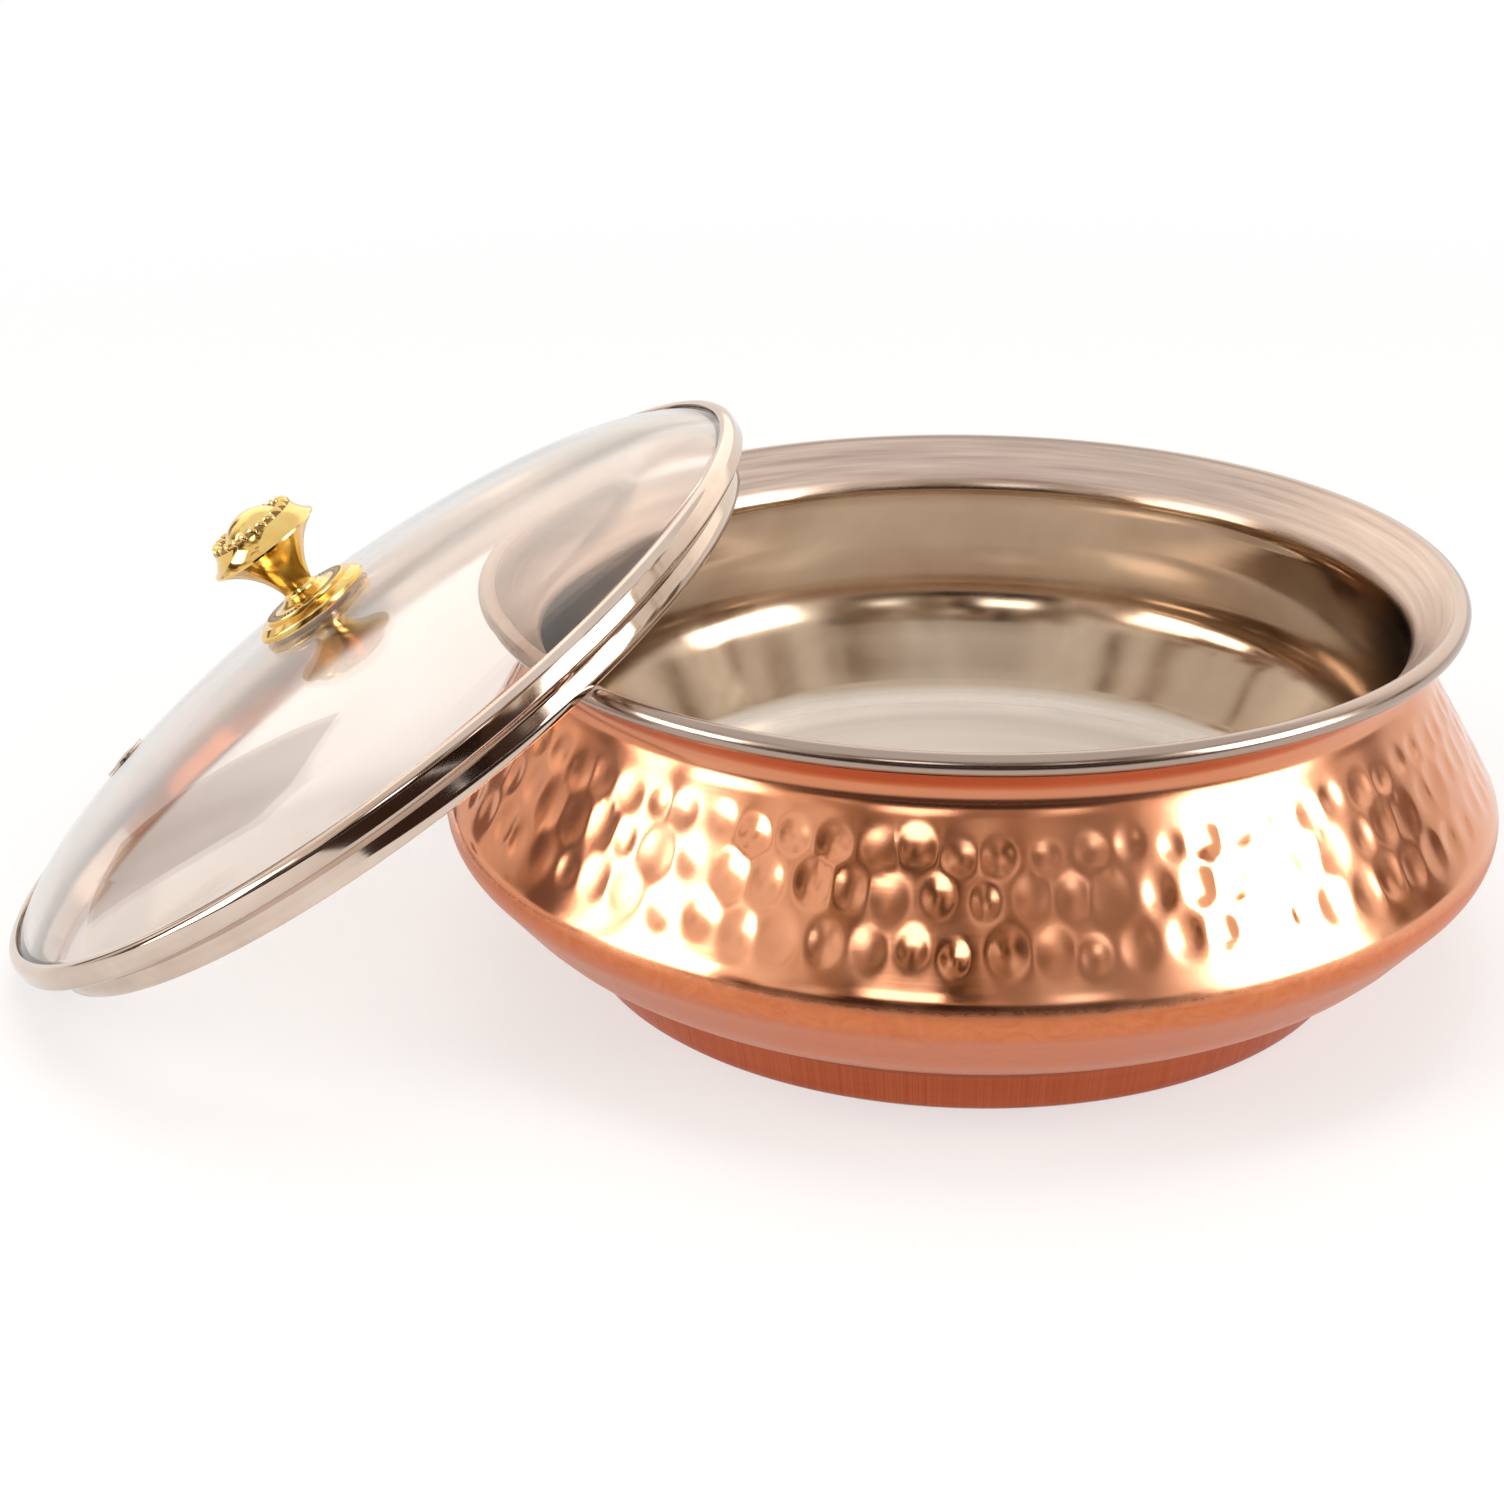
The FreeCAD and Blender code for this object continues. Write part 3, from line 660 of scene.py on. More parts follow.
def band_material():
    """Stainless steel with rings round it, bright enough to mirror the room."""
    made, tree, shader = new_material("bright band steel")
    rings = use(tree, RINGS, Rings_per_cm=14.0, Break_up=0.30, Detail=4.0)
    fine = use(tree, RINGS, Rings_per_cm=90.0, Break_up=1.2, Detail=2.0)
    cloud = use(tree, SMUDGES, Size=34.0, Contrast=0.8)
    tone = weighted(tree, rings, 0.6, cloud)
    # The band's warm grey is a painted reflection of the warm room round it; the rings and smudges that
    # vary it are real
    grey = blend_colours(tree, spread(tree, tone, 0, 1), (0.48, 0.370, 0.300), (0.72, 0.590, 0.500))
    coat(tree, shader, grey, spread(tree, tone, 0.12, 0.05))
    bump(tree, shader, fine, BAND_GRAIN, 0.6)
    return made


def bowl_material():
    """The inner bowl's steel: satin flange above the throat, buffed wall, ringed base painted pale and
    bead painted darker, both painted reflections.
    """
    made, tree, shader = new_material("buffed steel bowl")
    x, y, height = split(tree, object_spot(tree))
    radius = math_node(tree, "SQRT", plus(tree, times(tree, x, x), times(tree, y, y)))
    flange = spread(tree, height, 0.0, 1.0, *FLANGE_EDGE)
    bead = spread(tree, radius, 0.0, 1.0, *BEAD_EDGE)
    base = spread(tree, height, 1.0, 0.0, *BASE_EDGE)
    rings = use(tree, RINGS, Rings_per_cm=12.0, Break_up=0.22, Detail=4.0)
    grain = use(tree, RINGS, Rings_per_cm=70.0, Break_up=2.2, Detail=3.0)
    cloud = use(tree, SMUDGES, Size=22.0, Contrast=1.0)

    ringed, brushed = spread(tree, rings, 0, 1), spread(tree, grain, 0, 1)
    # The wall and flange are painted a warm grey, a painted reflection of the warm room round the bowl;
    # their smudges and brushed grain are real
    wall = blend_colours(tree, cloud, (0.38, 0.270, 0.185), (0.56, 0.440, 0.330))
    satin = blend_colours(tree, brushed, (0.44, 0.335, 0.280), (0.66, 0.525, 0.445))
    # The base is painted pale, a painted reflection of the bright room above; its rings are real
    # polishing marks
    pale = blend_colours(tree, ringed, (0.88, 0.82, 0.75), (0.96, 0.92, 0.87))
    colour = blend_colours(tree, base, blend_colours(tree, flange, wall, satin), pale)
    # The polished bead is painted darker, a painted reflection of dark things in front of it
    colour = blend_colours(tree, bead, colour, (0.40, 0.31, 0.26))

    buffed, satin_rough = spread(tree, cloud, 0.10, 0.17), spread(tree, grain, 0.30, 0.42)
    rough = blend_values(tree, flange, buffed, satin_rough)
    rough = blend_values(tree, base, blend_values(tree, bead, rough, 0.20), 0.30)
    coat(tree, shader, colour, rough)
    # Less of the base mirrors, so that its pale colour, a painted reflection of the bright room above,
    # shows
    tree.links.new(spread(tree, base, 1.0, 0.30), shader.inputs["Metallic"])
    bump(tree, shader, times(tree, grain, plus(tree, 0.25, flange)), 0.00002, 0.5)
    return made


BOWL_STEEL, BAND_STEEL = bowl_material(), band_material()

# %% [markdown]
# ## Steel bowl
# One disc of steel spun to a bowl. At the top its edge runs out along the flare and then curls right
# over and under the copper's edge. That curl is the bright bead that everyone sees as the pot's rim.

# %% Spin the bowl
BOWL_SEGMENTS, WALL_RUN = 512, 4.0


def steel_bowl():
    """Turn the sheet with its curled edge; top and stop are the curl's two ends in degrees."""
    top = 180 - math.degrees(FLARE)
    inner_r = BEAD_R - STEEL_T
    stop = top - 270 + math.degrees(math.asin(SHEET_GAP / inner_r))
    curl = arc(BEAD_CENTRE_R, BEAD_CENTRE_Z, BEAD_R, top, stop, 8)
    under = arc(BEAD_CENTRE_R, BEAD_CENTRE_Z, inner_r, stop, top, 12)
    inside = [
        curl[0],
        (THROAT_R, THROAT_Z, NECK_FILLET + COPPER_T + SHEET_GAP + STEEL_T),
        (BULGE_R, BULGE_Z, BULGE_FILLET),
        (FLOOR_R, FLOOR_Z, FLOOR_FILLET),
        (0, FLOOR_Z),
    ]
    outside = shifted(inside, STEEL_T)
    wall = rounded(inside, WALL_RUN)[::-1]
    back = rounded(outside, LINING_RUN)
    back[-1] = np.array([0, outside[-1][1]])
    return lathe("steel_bowl", wall + curl + under + back, BOWL_SEGMENTS)


bowl = steel_bowl()
bowl.data.materials.append(BOWL_STEEL)
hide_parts("inner_bowl")
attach(bowl, "root")

# %% [markdown]
# ## Where the lid leans
# The lid is made lying flat, round its own axis, and then tipped and set down in one move: its skirt
# touches the table on the far left, and its hem rests on the pot's bead at two places. The height
# follows from the skirt's radius and the tilt, and the distance from the frame's own box.

# %% Lid sizes and place
LID_TILT = math.radians(34.1)
SKIRT_R, SKIRT_H, TIER_R, TIER_H, LIP_R = 82.4, 6.2, 87.6, 4.6, 85.1
BAND_T, HEM_H, STEP_FILLET, TIER_FILLET = 0.5, 1.4, 0.8, 1.75
GLASS_T, GLASS_CLEARANCE, DOME_RISE, CROWN_R, CROWN_EDGE_R = 3.2, 0.2, 16.4, 260.0, 70.0
VENT_R, VENT_ANGLE = 62.0, math.radians(163.0)
EYELET_HOLE_R, EYELET_TUBE_R, EYELET_FLANGE_R, EYELET_FLANGE_T = 1.6, 2.4, 5.0, 0.6
EYELET_FIT, SCREW_R, SCREW_CLEARANCE = 0.1, 2.0, 0.3
LID_TOP = SKIRT_H + TIER_H
BRIM_TOP = LID_TOP - BAND_T - GLASS_CLEARANCE
BRIM_BOTTOM = BRIM_TOP - GLASS_T
BRIM_R = TIER_R - BAND_T - 1.5 * GLASS_CLEARANCE
APEX = BRIM_TOP + DOME_RISE

# The solid's outer corner is one flat of this width, and the frame's box ends at one of its edges
TIER_BEVEL = 1.2
band_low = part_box("lid_band")[0]
reach = max(
    TIER_R * math.cos(LID_TILT) + (LID_TOP - TIER_BEVEL) * math.sin(LID_TILT),
    (TIER_R - TIER_BEVEL) * math.cos(LID_TILT) + LID_TOP * math.sin(LID_TILT))
lid_spot = (band_low[0] + reach * MM, 0, SKIRT_R * MM * math.sin(LID_TILT))
LID_PLACE = Matrix.Translation(lid_spot) @ Matrix.Rotation(-LID_TILT, 4, "Y")
print("lid centre", [round(v, 5) for v in LID_PLACE.translation])

# %% [markdown]
# ## Lid band
# A strip of steel is roll-formed into a skirt with a hemmed edge, a step outwards, and a channel that
# grips the glass. It is polished like a mirror, so its few soft bends are what draw the bright and
# dark lines along it.

# %% Turn the band
BAND_SEGMENTS, BAND_RUN, HEM_SOFT = 720, 2.0, 0.25


def steel_band():
    outside = [
        (SKIRT_R, HEM_SOFT), (SKIRT_R, SKIRT_H, STEP_FILLET), (TIER_R, SKIRT_H, STEP_FILLET),
        (TIER_R, LID_TOP, TIER_FILLET), (LIP_R, LID_TOP)]
    inside = shifted(outside, BAND_T)
    hem_r = SKIRT_R - 2 * BAND_T
    hem = [(inside[0][0], HEM_H), (hem_r, HEM_H), (hem_r, HEM_SOFT), (hem_r + HEM_SOFT, 0),
           (SKIRT_R - HEM_SOFT, 0)]
    loop = rounded(outside, BAND_RUN) + rounded(inside, BAND_RUN)[:0:-1] + hem
    return lathe("lid_band_steel", loop, BAND_SEGMENTS, closed=True, place=LID_PLACE, sharp_deg=50)


band = steel_band()
band.data.materials.append(BAND_STEEL)
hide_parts("lid_band")
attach(band, "root")

# %% [markdown]
# ## Glass dome
# The glass is pressed, clear with a slightly warm tint, and thick enough for its edge to look darker.
# It is a closed shell, with an inner and an outer face, because glass bends light at both. A cutter
# takes out the steam vent's hole, square to the curve there.

# %% Glass material
def glass_material():
    made, tree, shader = new_material("tinted lid glass")
    film = use(tree, SMUDGES, Size=16.0, Contrast=0.9)
    tint = blend_colours(tree, film, (0.85, 0.755, 0.685), (0.925, 0.845, 0.79))
    coat(tree, shader, tint, spread(tree, film, 0.015, 0.045), 0.0)
    shader.inputs["Transmission Weight"].default_value = 1.0
    shader.inputs["IOR"].default_value = 1.5
    bump(tree, shader, noise(tree, object_spot(tree), 24.0, 1.0), 0.0004, 0.08)
    return made


LID_GLASS = glass_material()

# %% Press the glass and drill its vent
GLASS_SEGMENTS, VENT_SEGMENTS = 384, 48
CROWN_STEP, BEND_STEP, BRIM_SOFT, DRILL_LOW, DRILL_HIGH = 0.6, 1.5, 0.5, -8, 4


def at_vent():
    """The place of a shape made about Z, with the glass's outside at height 0, at the vent."""
    lean = Matrix.Rotation(math.asin(VENT_R / CROWN_R), 4, "Y")
    turn = Matrix.Rotation(VENT_ANGLE, 4, "Z") @ Matrix.Translation((0, 0, (APEX - CROWN_R) * MM))
    return LID_PLACE @ turn @ lean @ Matrix.Translation((0, 0, CROWN_R * MM))


def glass_outline():
    """A wide crown arc and a tighter one down to the flat brim, outside and again underneath."""
    edge = math.asin(CROWN_EDGE_R / CROWN_R)
    start = np.array([CROWN_EDGE_R, APEX - CROWN_R + CROWN_R * math.cos(edge)])
    inward = np.array([-math.sin(edge), -math.cos(edge)])
    chord = np.array([LIP_R, BRIM_TOP]) - start
    radius = (chord @ chord) / (2 * (chord @ inward))
    centre = start + radius * inward
    begin = 90 - math.degrees(edge)
    end = math.degrees(math.atan2(BRIM_TOP - centre[1], LIP_R - centre[0]))
    under_r, under_crown_r = radius - GLASS_T, CROWN_R - GLASS_T
    under_end = math.degrees(math.asin((BRIM_BOTTOM - centre[1]) / under_r))
    hole_r = SCREW_R + SCREW_CLEARANCE
    hole, under_hole = (math.degrees(math.acos(hole_r / r)) for r in (CROWN_R, under_crown_r))
    loop = arc(0, APEX - CROWN_R, CROWN_R, hole, begin, CROWN_STEP)
    loop += arc(*centre, radius, begin, end, BEND_STEP)
    loop += [(BRIM_R - BRIM_SOFT, BRIM_TOP), (BRIM_R, BRIM_TOP - BRIM_SOFT),
             (BRIM_R, BRIM_BOTTOM + BRIM_SOFT), (BRIM_R - BRIM_SOFT, BRIM_BOTTOM)]
    loop += arc(*centre, under_r, under_end, begin, BEND_STEP)
    return loop + arc(0, APEX - CROWN_R, under_crown_r, begin, under_hole, CROWN_STEP)


def glass_dome():
    dome = lathe("glass_dome", glass_outline(), GLASS_SEGMENTS, closed=True, place=LID_PLACE)
    vent_r = EYELET_TUBE_R + EYELET_FIT
    rod = [(0, DRILL_LOW), (vent_r, DRILL_LOW), (vent_r, DRILL_HIGH), (0, DRILL_HIGH)]
    drill = lathe("vent drill", rod, VENT_SEGMENTS, place=at_vent())
    cut = dome.modifiers.new("vent", "BOOLEAN")
    cut.operation, cut.object, cut.solver = "DIFFERENCE", drill, "EXACT"
    keep_result(dome, cut)
    bpy.data.objects.remove(drill)
    mesh = dome.data
    mesh.materials.clear()
    mesh.materials.append(LID_GLASS)
    mesh.set_sharp_from_angle(angle=math.radians(40))
    print("glass faces", len(mesh.polygons), "volume cm3", round(volume(dome) * 1e6, 2))
    return dome


dome = glass_dome()
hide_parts("lid_glass")
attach(dome, "root")

# %% Eyelet in the vent
def eyelet():
    top, under, soft = EYELET_FIT, -GLASS_T - EYELET_FIT, EYELET_FLANGE_T / 2
    over, below, small = top + EYELET_FLANGE_T, under - EYELET_FLANGE_T, EYELET_FLANGE_R - 1
    corners = [
        (EYELET_TUBE_R, under), (EYELET_TUBE_R, top), (EYELET_FLANGE_R, top),
        (EYELET_FLANGE_R, over, soft), (EYELET_HOLE_R, over, soft), (EYELET_HOLE_R, below, soft),
        (small, below, soft), (small, under), (EYELET_TUBE_R, under)]
    return lathe("vent_eyelet", rounded(corners)[:-1], 2 * VENT_SEGMENTS, closed=True, place=at_vent())


vent = eyelet()
vent.data.materials.append(BAND_STEEL)
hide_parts("vent_grommet")
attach(vent, "root")

# %% [markdown]
# ## Brass knob
# The knob is turned from brass bar: a stepped collar, a trumpet stem, and a disc with a low dome. A
# leaf pattern is cut round the collar, and its grooves stay dark when the brass is polished. A
# material does that with a mask that follows the turned UV map, and the twisted rope round the dome is
# made of real beads over a dark bed.

# %% Brass materials
LEAF_LEAN, LEAF_WIDTH = 1.9, 0.62


def leaf_grooves(tree, first, last, count):
    """A mask of leaf outlines round the piece, on one stretch of its outline."""
    uv = turned_map(tree)
    along = spread(tree, uv[1], -1.0, 1.0, first * UV_PER_MM, last * UV_PER_MM, clamp=False)
    turn = plus(tree, times(tree, uv[0], 2 * math.pi * count), times(tree, along, LEAF_LEAN))
    wave = math_node(tree, "ABSOLUTE", math_node(tree, "SINE", turn))
    petal = minus(tree, 1.0, times(tree, along, along))
    line = minus(tree, wave, times(tree, petal, LEAF_WIDTH))
    cut, inside = spread(tree, line, 0.0, 1.0, -0.12, 0.10), spread(tree, petal, 0.0, 1.0, 0.0, 0.12)
    return times(tree, cut, inside)


def brass_material(name, leaves=None):
    """Polished brass; leaves gives the engraved stretch of the outline, in millimetres, and a count."""
    made, tree, shader = new_material(name)
    rings = use(tree, RINGS, Rings_per_cm=30.0, Break_up=0.5, Detail=3.0)
    cloud = use(tree, SMUDGES, Size=120.0, Contrast=1.0)
    gold = blend_colours(tree, cloud, (0.78, 0.50, 0.15), (0.90, 0.68, 0.27))
    gold = blend_colours(tree, spread(tree, rings, 0, 0.35), gold, (0.66, 0.38, 0.10))
    rough = spread(tree, cloud, 0.10, 0.20)
    if leaves:
        groove = leaf_grooves(tree, *leaves)
        gold = blend_colours(tree, groove, gold, (0.085, 0.045, 0.015))
        rough = blend_values(tree, groove, rough, 0.5)
        bump(tree, shader, minus(tree, 1.0, groove), 0.00025, 0.8)
    coat(tree, shader, gold, rough)
    return made

# %% Knob outlines
SEAL_T, SEAL_R, SEAL_FIT, THREAD_FIT, SCREW_THREAD_L = 0.8, 10.4, 0.05, 0.05, 9.0
COLLAR_R, COLLAR_H, COLLAR_TOP_R, COLLAR_STEP_R, COLLAR_RECESS = 12.1, 4.4, 3.9, 9.2, 0.5
WAIST_R, GRIP_R, GRIP_TOP_R, ROPE_W, GRIP_DOME_R = 3.2, 11.5, 9.0, 2.2, 6.4
GRIP_EDGE_Z, GRIP_TOP_Z, GRIP_H = 15.3, 19.2, 22.7
KNOB_Z = APEX + SEAL_T - COLLAR_RECESS


def through(a, b, c, step_deg=5.0):
    """Points on the arc through three points, b not kept."""
    a, b, c = (np.array(p, float) for p in (a, b, c))
    ax, ay, bx, by = *(b - a), *(c - a)
    d = 2 * (ax * by - ay * bx)
    a2, b2 = ax * ax + ay * ay, bx * bx + by * by
    centre = a + np.array([by * a2 - ay * b2, ax * b2 - bx * a2]) / d
    start, stop = (math.degrees(math.atan2(*(p - centre)[::-1])) for p in (a, c))
    clockwise = d < 0
    while clockwise and stop > start:
        stop -= 360
    while not clockwise and stop < start:
        stop += 360
    return arc(*centre, np.linalg.norm(a - centre), start, stop, step_deg)


def collar_outline():
    hole = SCREW_R + SCREW_CLEARANCE
    corners = [
        (SEAL_R + SEAL_FIT, COLLAR_RECESS), (SEAL_R + SEAL_FIT, 0), (COLLAR_R, 0, 0.35),
        (COLLAR_R, 1.3, 0.5), (COLLAR_R - 1.5, 2.3, 0.4), (COLLAR_STEP_R, 2.3),
        (COLLAR_STEP_R, 3.0, 0.3), (COLLAR_STEP_R - 3.2, 3.0), (COLLAR_TOP_R + 1.2, COLLAR_H - 1.0),
        (COLLAR_TOP_R, COLLAR_H - 0.3), (COLLAR_TOP_R, COLLAR_H), (hole, COLLAR_H),
        (hole, COLLAR_RECESS)]
    return [p + np.array([0, KNOB_Z]) for p in rounded(corners)]


def grip_outline():
    z = KNOB_Z
    rise = GRIP_H - GRIP_TOP_Z
    curve = (GRIP_DOME_R ** 2 + rise ** 2) / (2 * rise)
    foot, edge, top = z + COLLAR_H, z + GRIP_EDGE_Z, z + GRIP_TOP_Z
    hole_r, hole_top = SCREW_R + THREAD_FIT, foot + SCREW_THREAD_L + SCREW_R / 2
    line = [(0, hole_top), (hole_r, hole_top), (hole_r, foot), (WAIST_R + 0.2, foot)]
    stem = (GRIP_R * 0.42, z + GRIP_EDGE_Z * 0.6)
    line += through((WAIST_R, foot + 0.6), stem, (GRIP_R - 2.0, edge - 1.2))
    line += [(GRIP_R, edge)]
    line += through((GRIP_R, edge + 0.4), (GRIP_TOP_R + 0.6, edge + 2.4), (GRIP_TOP_R, top))
    line += [(GRIP_TOP_R - ROPE_W, top), (GRIP_DOME_R, top)]
    line += arc(0, z + GRIP_H - curve, curve, math.degrees(math.acos(GRIP_DOME_R / curve)), 90, 4)
    return line

# %% Turn the knob
KNOB_SEGMENTS, COLLAR_LEAVES = 192, (7.4, 9.3, 26)

turned = {"place": LID_PLACE, "sharp_deg": 30}
collar = lathe("collar_brass", collar_outline(), KNOB_SEGMENTS, closed=True, **turned)
collar.data.materials.append(brass_material("collar brass", COLLAR_LEAVES))
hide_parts("knob_collar")
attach(collar, "root")

grip = lathe("grip_brass", grip_outline(), KNOB_SEGMENTS, **turned)
grip.data.materials.append(brass_material("grip brass"))
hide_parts("knob_grip")
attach(grip, "root")

# %% [markdown]
# ## Rope round the knob
# The rope is a ring of slanted beads. One bead is modelled with few faces, and a Geometry Nodes tree
# sets copies of it round a circle, each turned to face outwards. The count, the circle and the slant
# are named inputs, so another knob only needs other numbers.

# %% The rope tree
# Slant in radians, the beads' half lengths and the ring's offset from the groove in millimetres
ROPE_BEADS, ROPE_SLANT = 24, 0.95
BEAD_LONG, BEAD_WIDE, BEAD_THICK = 1.45, 0.66, 1.35
ROPE_OUT, ROPE_UP = 0.1, 0.2


def rope_tree():
    tree, given, out = group_tree(
        "rope ring",
        [("Geometry", "NodeSocketGeometry", None), ("Beads", "NodeSocketInt", 30),
         ("Radius", "NodeSocketFloat", 0.01), ("Height", "NodeSocketFloat", 0.0),
         ("Slant", "NodeSocketFloat", 0.6), ("Long", "NodeSocketFloat", 0.001),
         ("Wide", "NodeSocketFloat", 0.0005), ("Thick", "NodeSocketFloat", 0.0005),
         ("Finish", "NodeSocketMaterial", None)],
        [("Geometry", "NodeSocketGeometry")], "GeometryNodeTree")
    value = given.outputs

    def add(kind, values):
        return tree_node(tree, "GeometryNode" + kind, values).outputs[0]

    circle = add("MeshCircle", {"Vertices": value["Beads"], "Radius": value["Radius"]})
    bead = add("MeshUVSphere", {"Segments": 10, "Rings": 7, "Radius": 1.0})
    size = joined(tree, value["Long"], value["Wide"], value["Thick"])
    shaped = add("Transform", {"Geometry": bead, "Scale": size})
    step = math_node(tree, "DIVIDE", 2 * math.pi, value["Beads"])
    angle = plus(tree, times(tree, add("InputIndex", {}), step), value["Slant"])
    turn = joined(tree, 0.0, 0.0, angle)
    spin = tree_node(tree, "FunctionNodeEulerToRotation", {0: turn}).outputs[0]
    copies = add("InstanceOnPoints", {"Points": circle, "Instance": shaped, "Rotation": spin})
    lift = joined(tree, 0.0, 0.0, value["Height"])
    raised = add("SetPosition", {"Geometry": add("RealizeInstances", {0: copies}), "Offset": lift})
    smooth = add("SetShadeSmooth", {0: raised})
    done = add("SetMaterial", {"Geometry": smooth, "Material": value["Finish"]})
    tree.links.new(done, out.inputs[0])
    return tree


def rope_ring():
    made = bpy.data.objects.new("knob_rope", bpy.data.meshes.new("knob_rope"))
    bpy.context.scene.collection.objects.link(made)
    run_tree(made, rope_tree(), {
        "Beads": ROPE_BEADS, "Radius": (GRIP_TOP_R - ROPE_W / 2 + ROPE_OUT) * MM,
        "Height": (KNOB_Z + GRIP_TOP_Z + ROPE_UP) * MM, "Slant": ROPE_SLANT,
        "Long": BEAD_LONG * MM, "Wide": BEAD_WIDE * MM, "Thick": BEAD_THICK * MM,
        "Finish": brass_material("rope brass")})
    made.data.transform(LID_PLACE)
    print("rope faces", len(made.data.polygons))
    return made


rope = rope_ring()
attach(rope, "root")

# %% Dark bed of the rope
BED_R, BED_SUNK, BED_SEGMENTS = 1.08, 0.1, 144

half_ring = arc(GRIP_TOP_R - ROPE_W / 2, KNOB_Z + GRIP_TOP_Z - BED_SUNK, BED_R, 0, 180, 12)
bed = lathe("rope_bed", half_ring, BED_SEGMENTS, closed=True, place=LID_PLACE)
bed.data.materials.append(
    clouded("oxidised brass", 300.0, (0.16, 0.085, 0.03), (0.34, 0.20, 0.075), 0.35, 0.5))
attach(bed, "root")

# %% Small parts under the glass
# These keep the frame's own meshes, which have no turned UV map, so only smudges vary their finish
SOFT = clouded("soft washer", 140.0, (0.62, 0.60, 0.56), (0.74, 0.72, 0.68), 0.45, 0.6, 0.0)
SCREW_STEEL = clouded("screw steel", 160.0, (0.46, 0.44, 0.42), (0.62, 0.60, 0.57), 0.18, 0.32)
SMALL_PARTS = {
    "knob_seal": SOFT, "lower_seal": SOFT, "screw_washer": SCREW_STEEL, "knob_screw": SCREW_STEEL}
for node, finish in SMALL_PARTS.items():
    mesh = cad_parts[node].data
    mesh.materials.clear()
    mesh.materials.append(finish)

# %% [markdown]
# ## Studio
# The pot stands on a pale floor that shows plain white away from it but keeps the shadow. Polished
# metal is only as good as what it mirrors, so a ring of boards that nothing but reflections can see
# stands round it: two bright ones at the sides draw the bright bars on the shoulder, brown and dark
# ones give the metal its edges, and a room behind them gives it streaks. Three lamps light the rest.

# %% Floor
FLOOR_HALF, FLOOR_FADE = 3.0, (0.22, 0.75)


def seen_by_eye(tree):
    """One for camera, mirror and glass rays, nothing for the light that falls on the object."""
    path = tree.nodes.new("ShaderNodeLightPath").outputs
    clear = math_node(tree, "MAXIMUM", path["Is Glossy Ray"], path["Is Transmission Ray"])
    return math_node(tree, "MAXIMUM", path["Is Camera Ray"], clear)


def emission(tree, colour, strength):
    return tree_node(tree, "ShaderNodeEmission", {"Color": colour, "Strength": strength}).outputs[0]


def surface(tree, shader):
    tree.links.new(shader, tree.nodes["Material Output"].inputs["Surface"])


def linked_mesh(name, verts, faces, finish):
    mesh = bpy.data.meshes.new(name)
    mesh.from_pydata(verts, [], faces)
    mesh.materials.append(finish)
    made = bpy.data.objects.new(name, mesh)
    bpy.context.scene.collection.objects.link(made)
    return made


def level_sheet(name, left, right, front, back, z, finish):
    corners = [(left, front, z), (right, front, z), (right, back, z), (left, back, z)]
    return linked_mesh(name, corners, [(0, 1, 2, 3)], finish)


def floor_finish():
    """Pale near the pot, where it keeps the shadow, and plain white to the eye away from it."""
    made, tree, shader = new_material("pale floor")
    shader.inputs["Base Color"].default_value = (0.93, 0.92, 0.91, 1)
    shader.inputs["Roughness"].default_value = 0.9
    shader.inputs["Specular IOR Level"].default_value = 0.0
    length = tree_node(tree, "ShaderNodeVectorMath", {0: object_spot(tree)}, operation="LENGTH")
    white_part = spread(tree, length.outputs["Value"], 0.60, 1.0, *FLOOR_FADE)
    factor = times(tree, white_part, seen_by_eye(tree))
    glow = emission(tree, (1, 1, 1, 1), 1.0)
    mixed = tree_node(tree, "ShaderNodeMixShader", {0: factor, 1: shader.outputs[0], 2: glow})
    surface(tree, mixed.outputs[0])
    return made


floor = level_sheet("floor", -FLOOR_HALF, FLOOR_HALF, -FLOOR_HALF, FLOOR_HALF, 0, floor_finish())

# %% Boards that only reflections see
WARM_WHITE = (1.0, 0.985, 0.96)
# Name, distance, low and high edge in metres, from and to in degrees, strength and colour
BOARDS = [
    ("right white board", 1.5, 0.10, 0.92, -42, -9, 9.0, WARM_WHITE),
    ("left white board", 1.5, 0.08, 0.70, -178, -144, 8.5, WARM_WHITE),
    ("front window board", 1.45, 0.60, 0.84, -113, -98, 4.5, WARM_WHITE),
    ("front lamp board", 1.45, 0.62, 0.74, -74, -66, 3.5, WARM_WHITE),
    ("left brown boards", 1.55, 0.03, 0.62, 134, 147, 1.0, (0.22, 0.13, 0.09)),
    ("far left brown board", 1.55, 0.03, 0.56, 168, 181, 1.0, (0.10, 0.05, 0.035)),
    ("right brown board", 1.55, 0.03, 0.44, 10, 18, 1.0, (0.22, 0.13, 0.09)),
    ("low front board", 1.7, 0.03, 0.58, -118, -60, 1.0, (0.026, 0.012, 0.008)),
    ("low side boards", 1.72, 0.03, 0.34, -150, -30, 1.0, (0.060, 0.032, 0.020)),
]
ROOM = (1.8, 0.03, 1.9, -180, 180)
TABLE_EDGE, TABLE_COLOUR = (-1.1, 1.1, -1.7, -0.24, 0.002), (0.050, 0.026, 0.017)
BOARD_FLAT_DEG = 6


def card(name, strength, colour):
    made, tree, _ = new_material(name)
    surface(tree, emission(tree, (*colour, 1), strength))
    return made


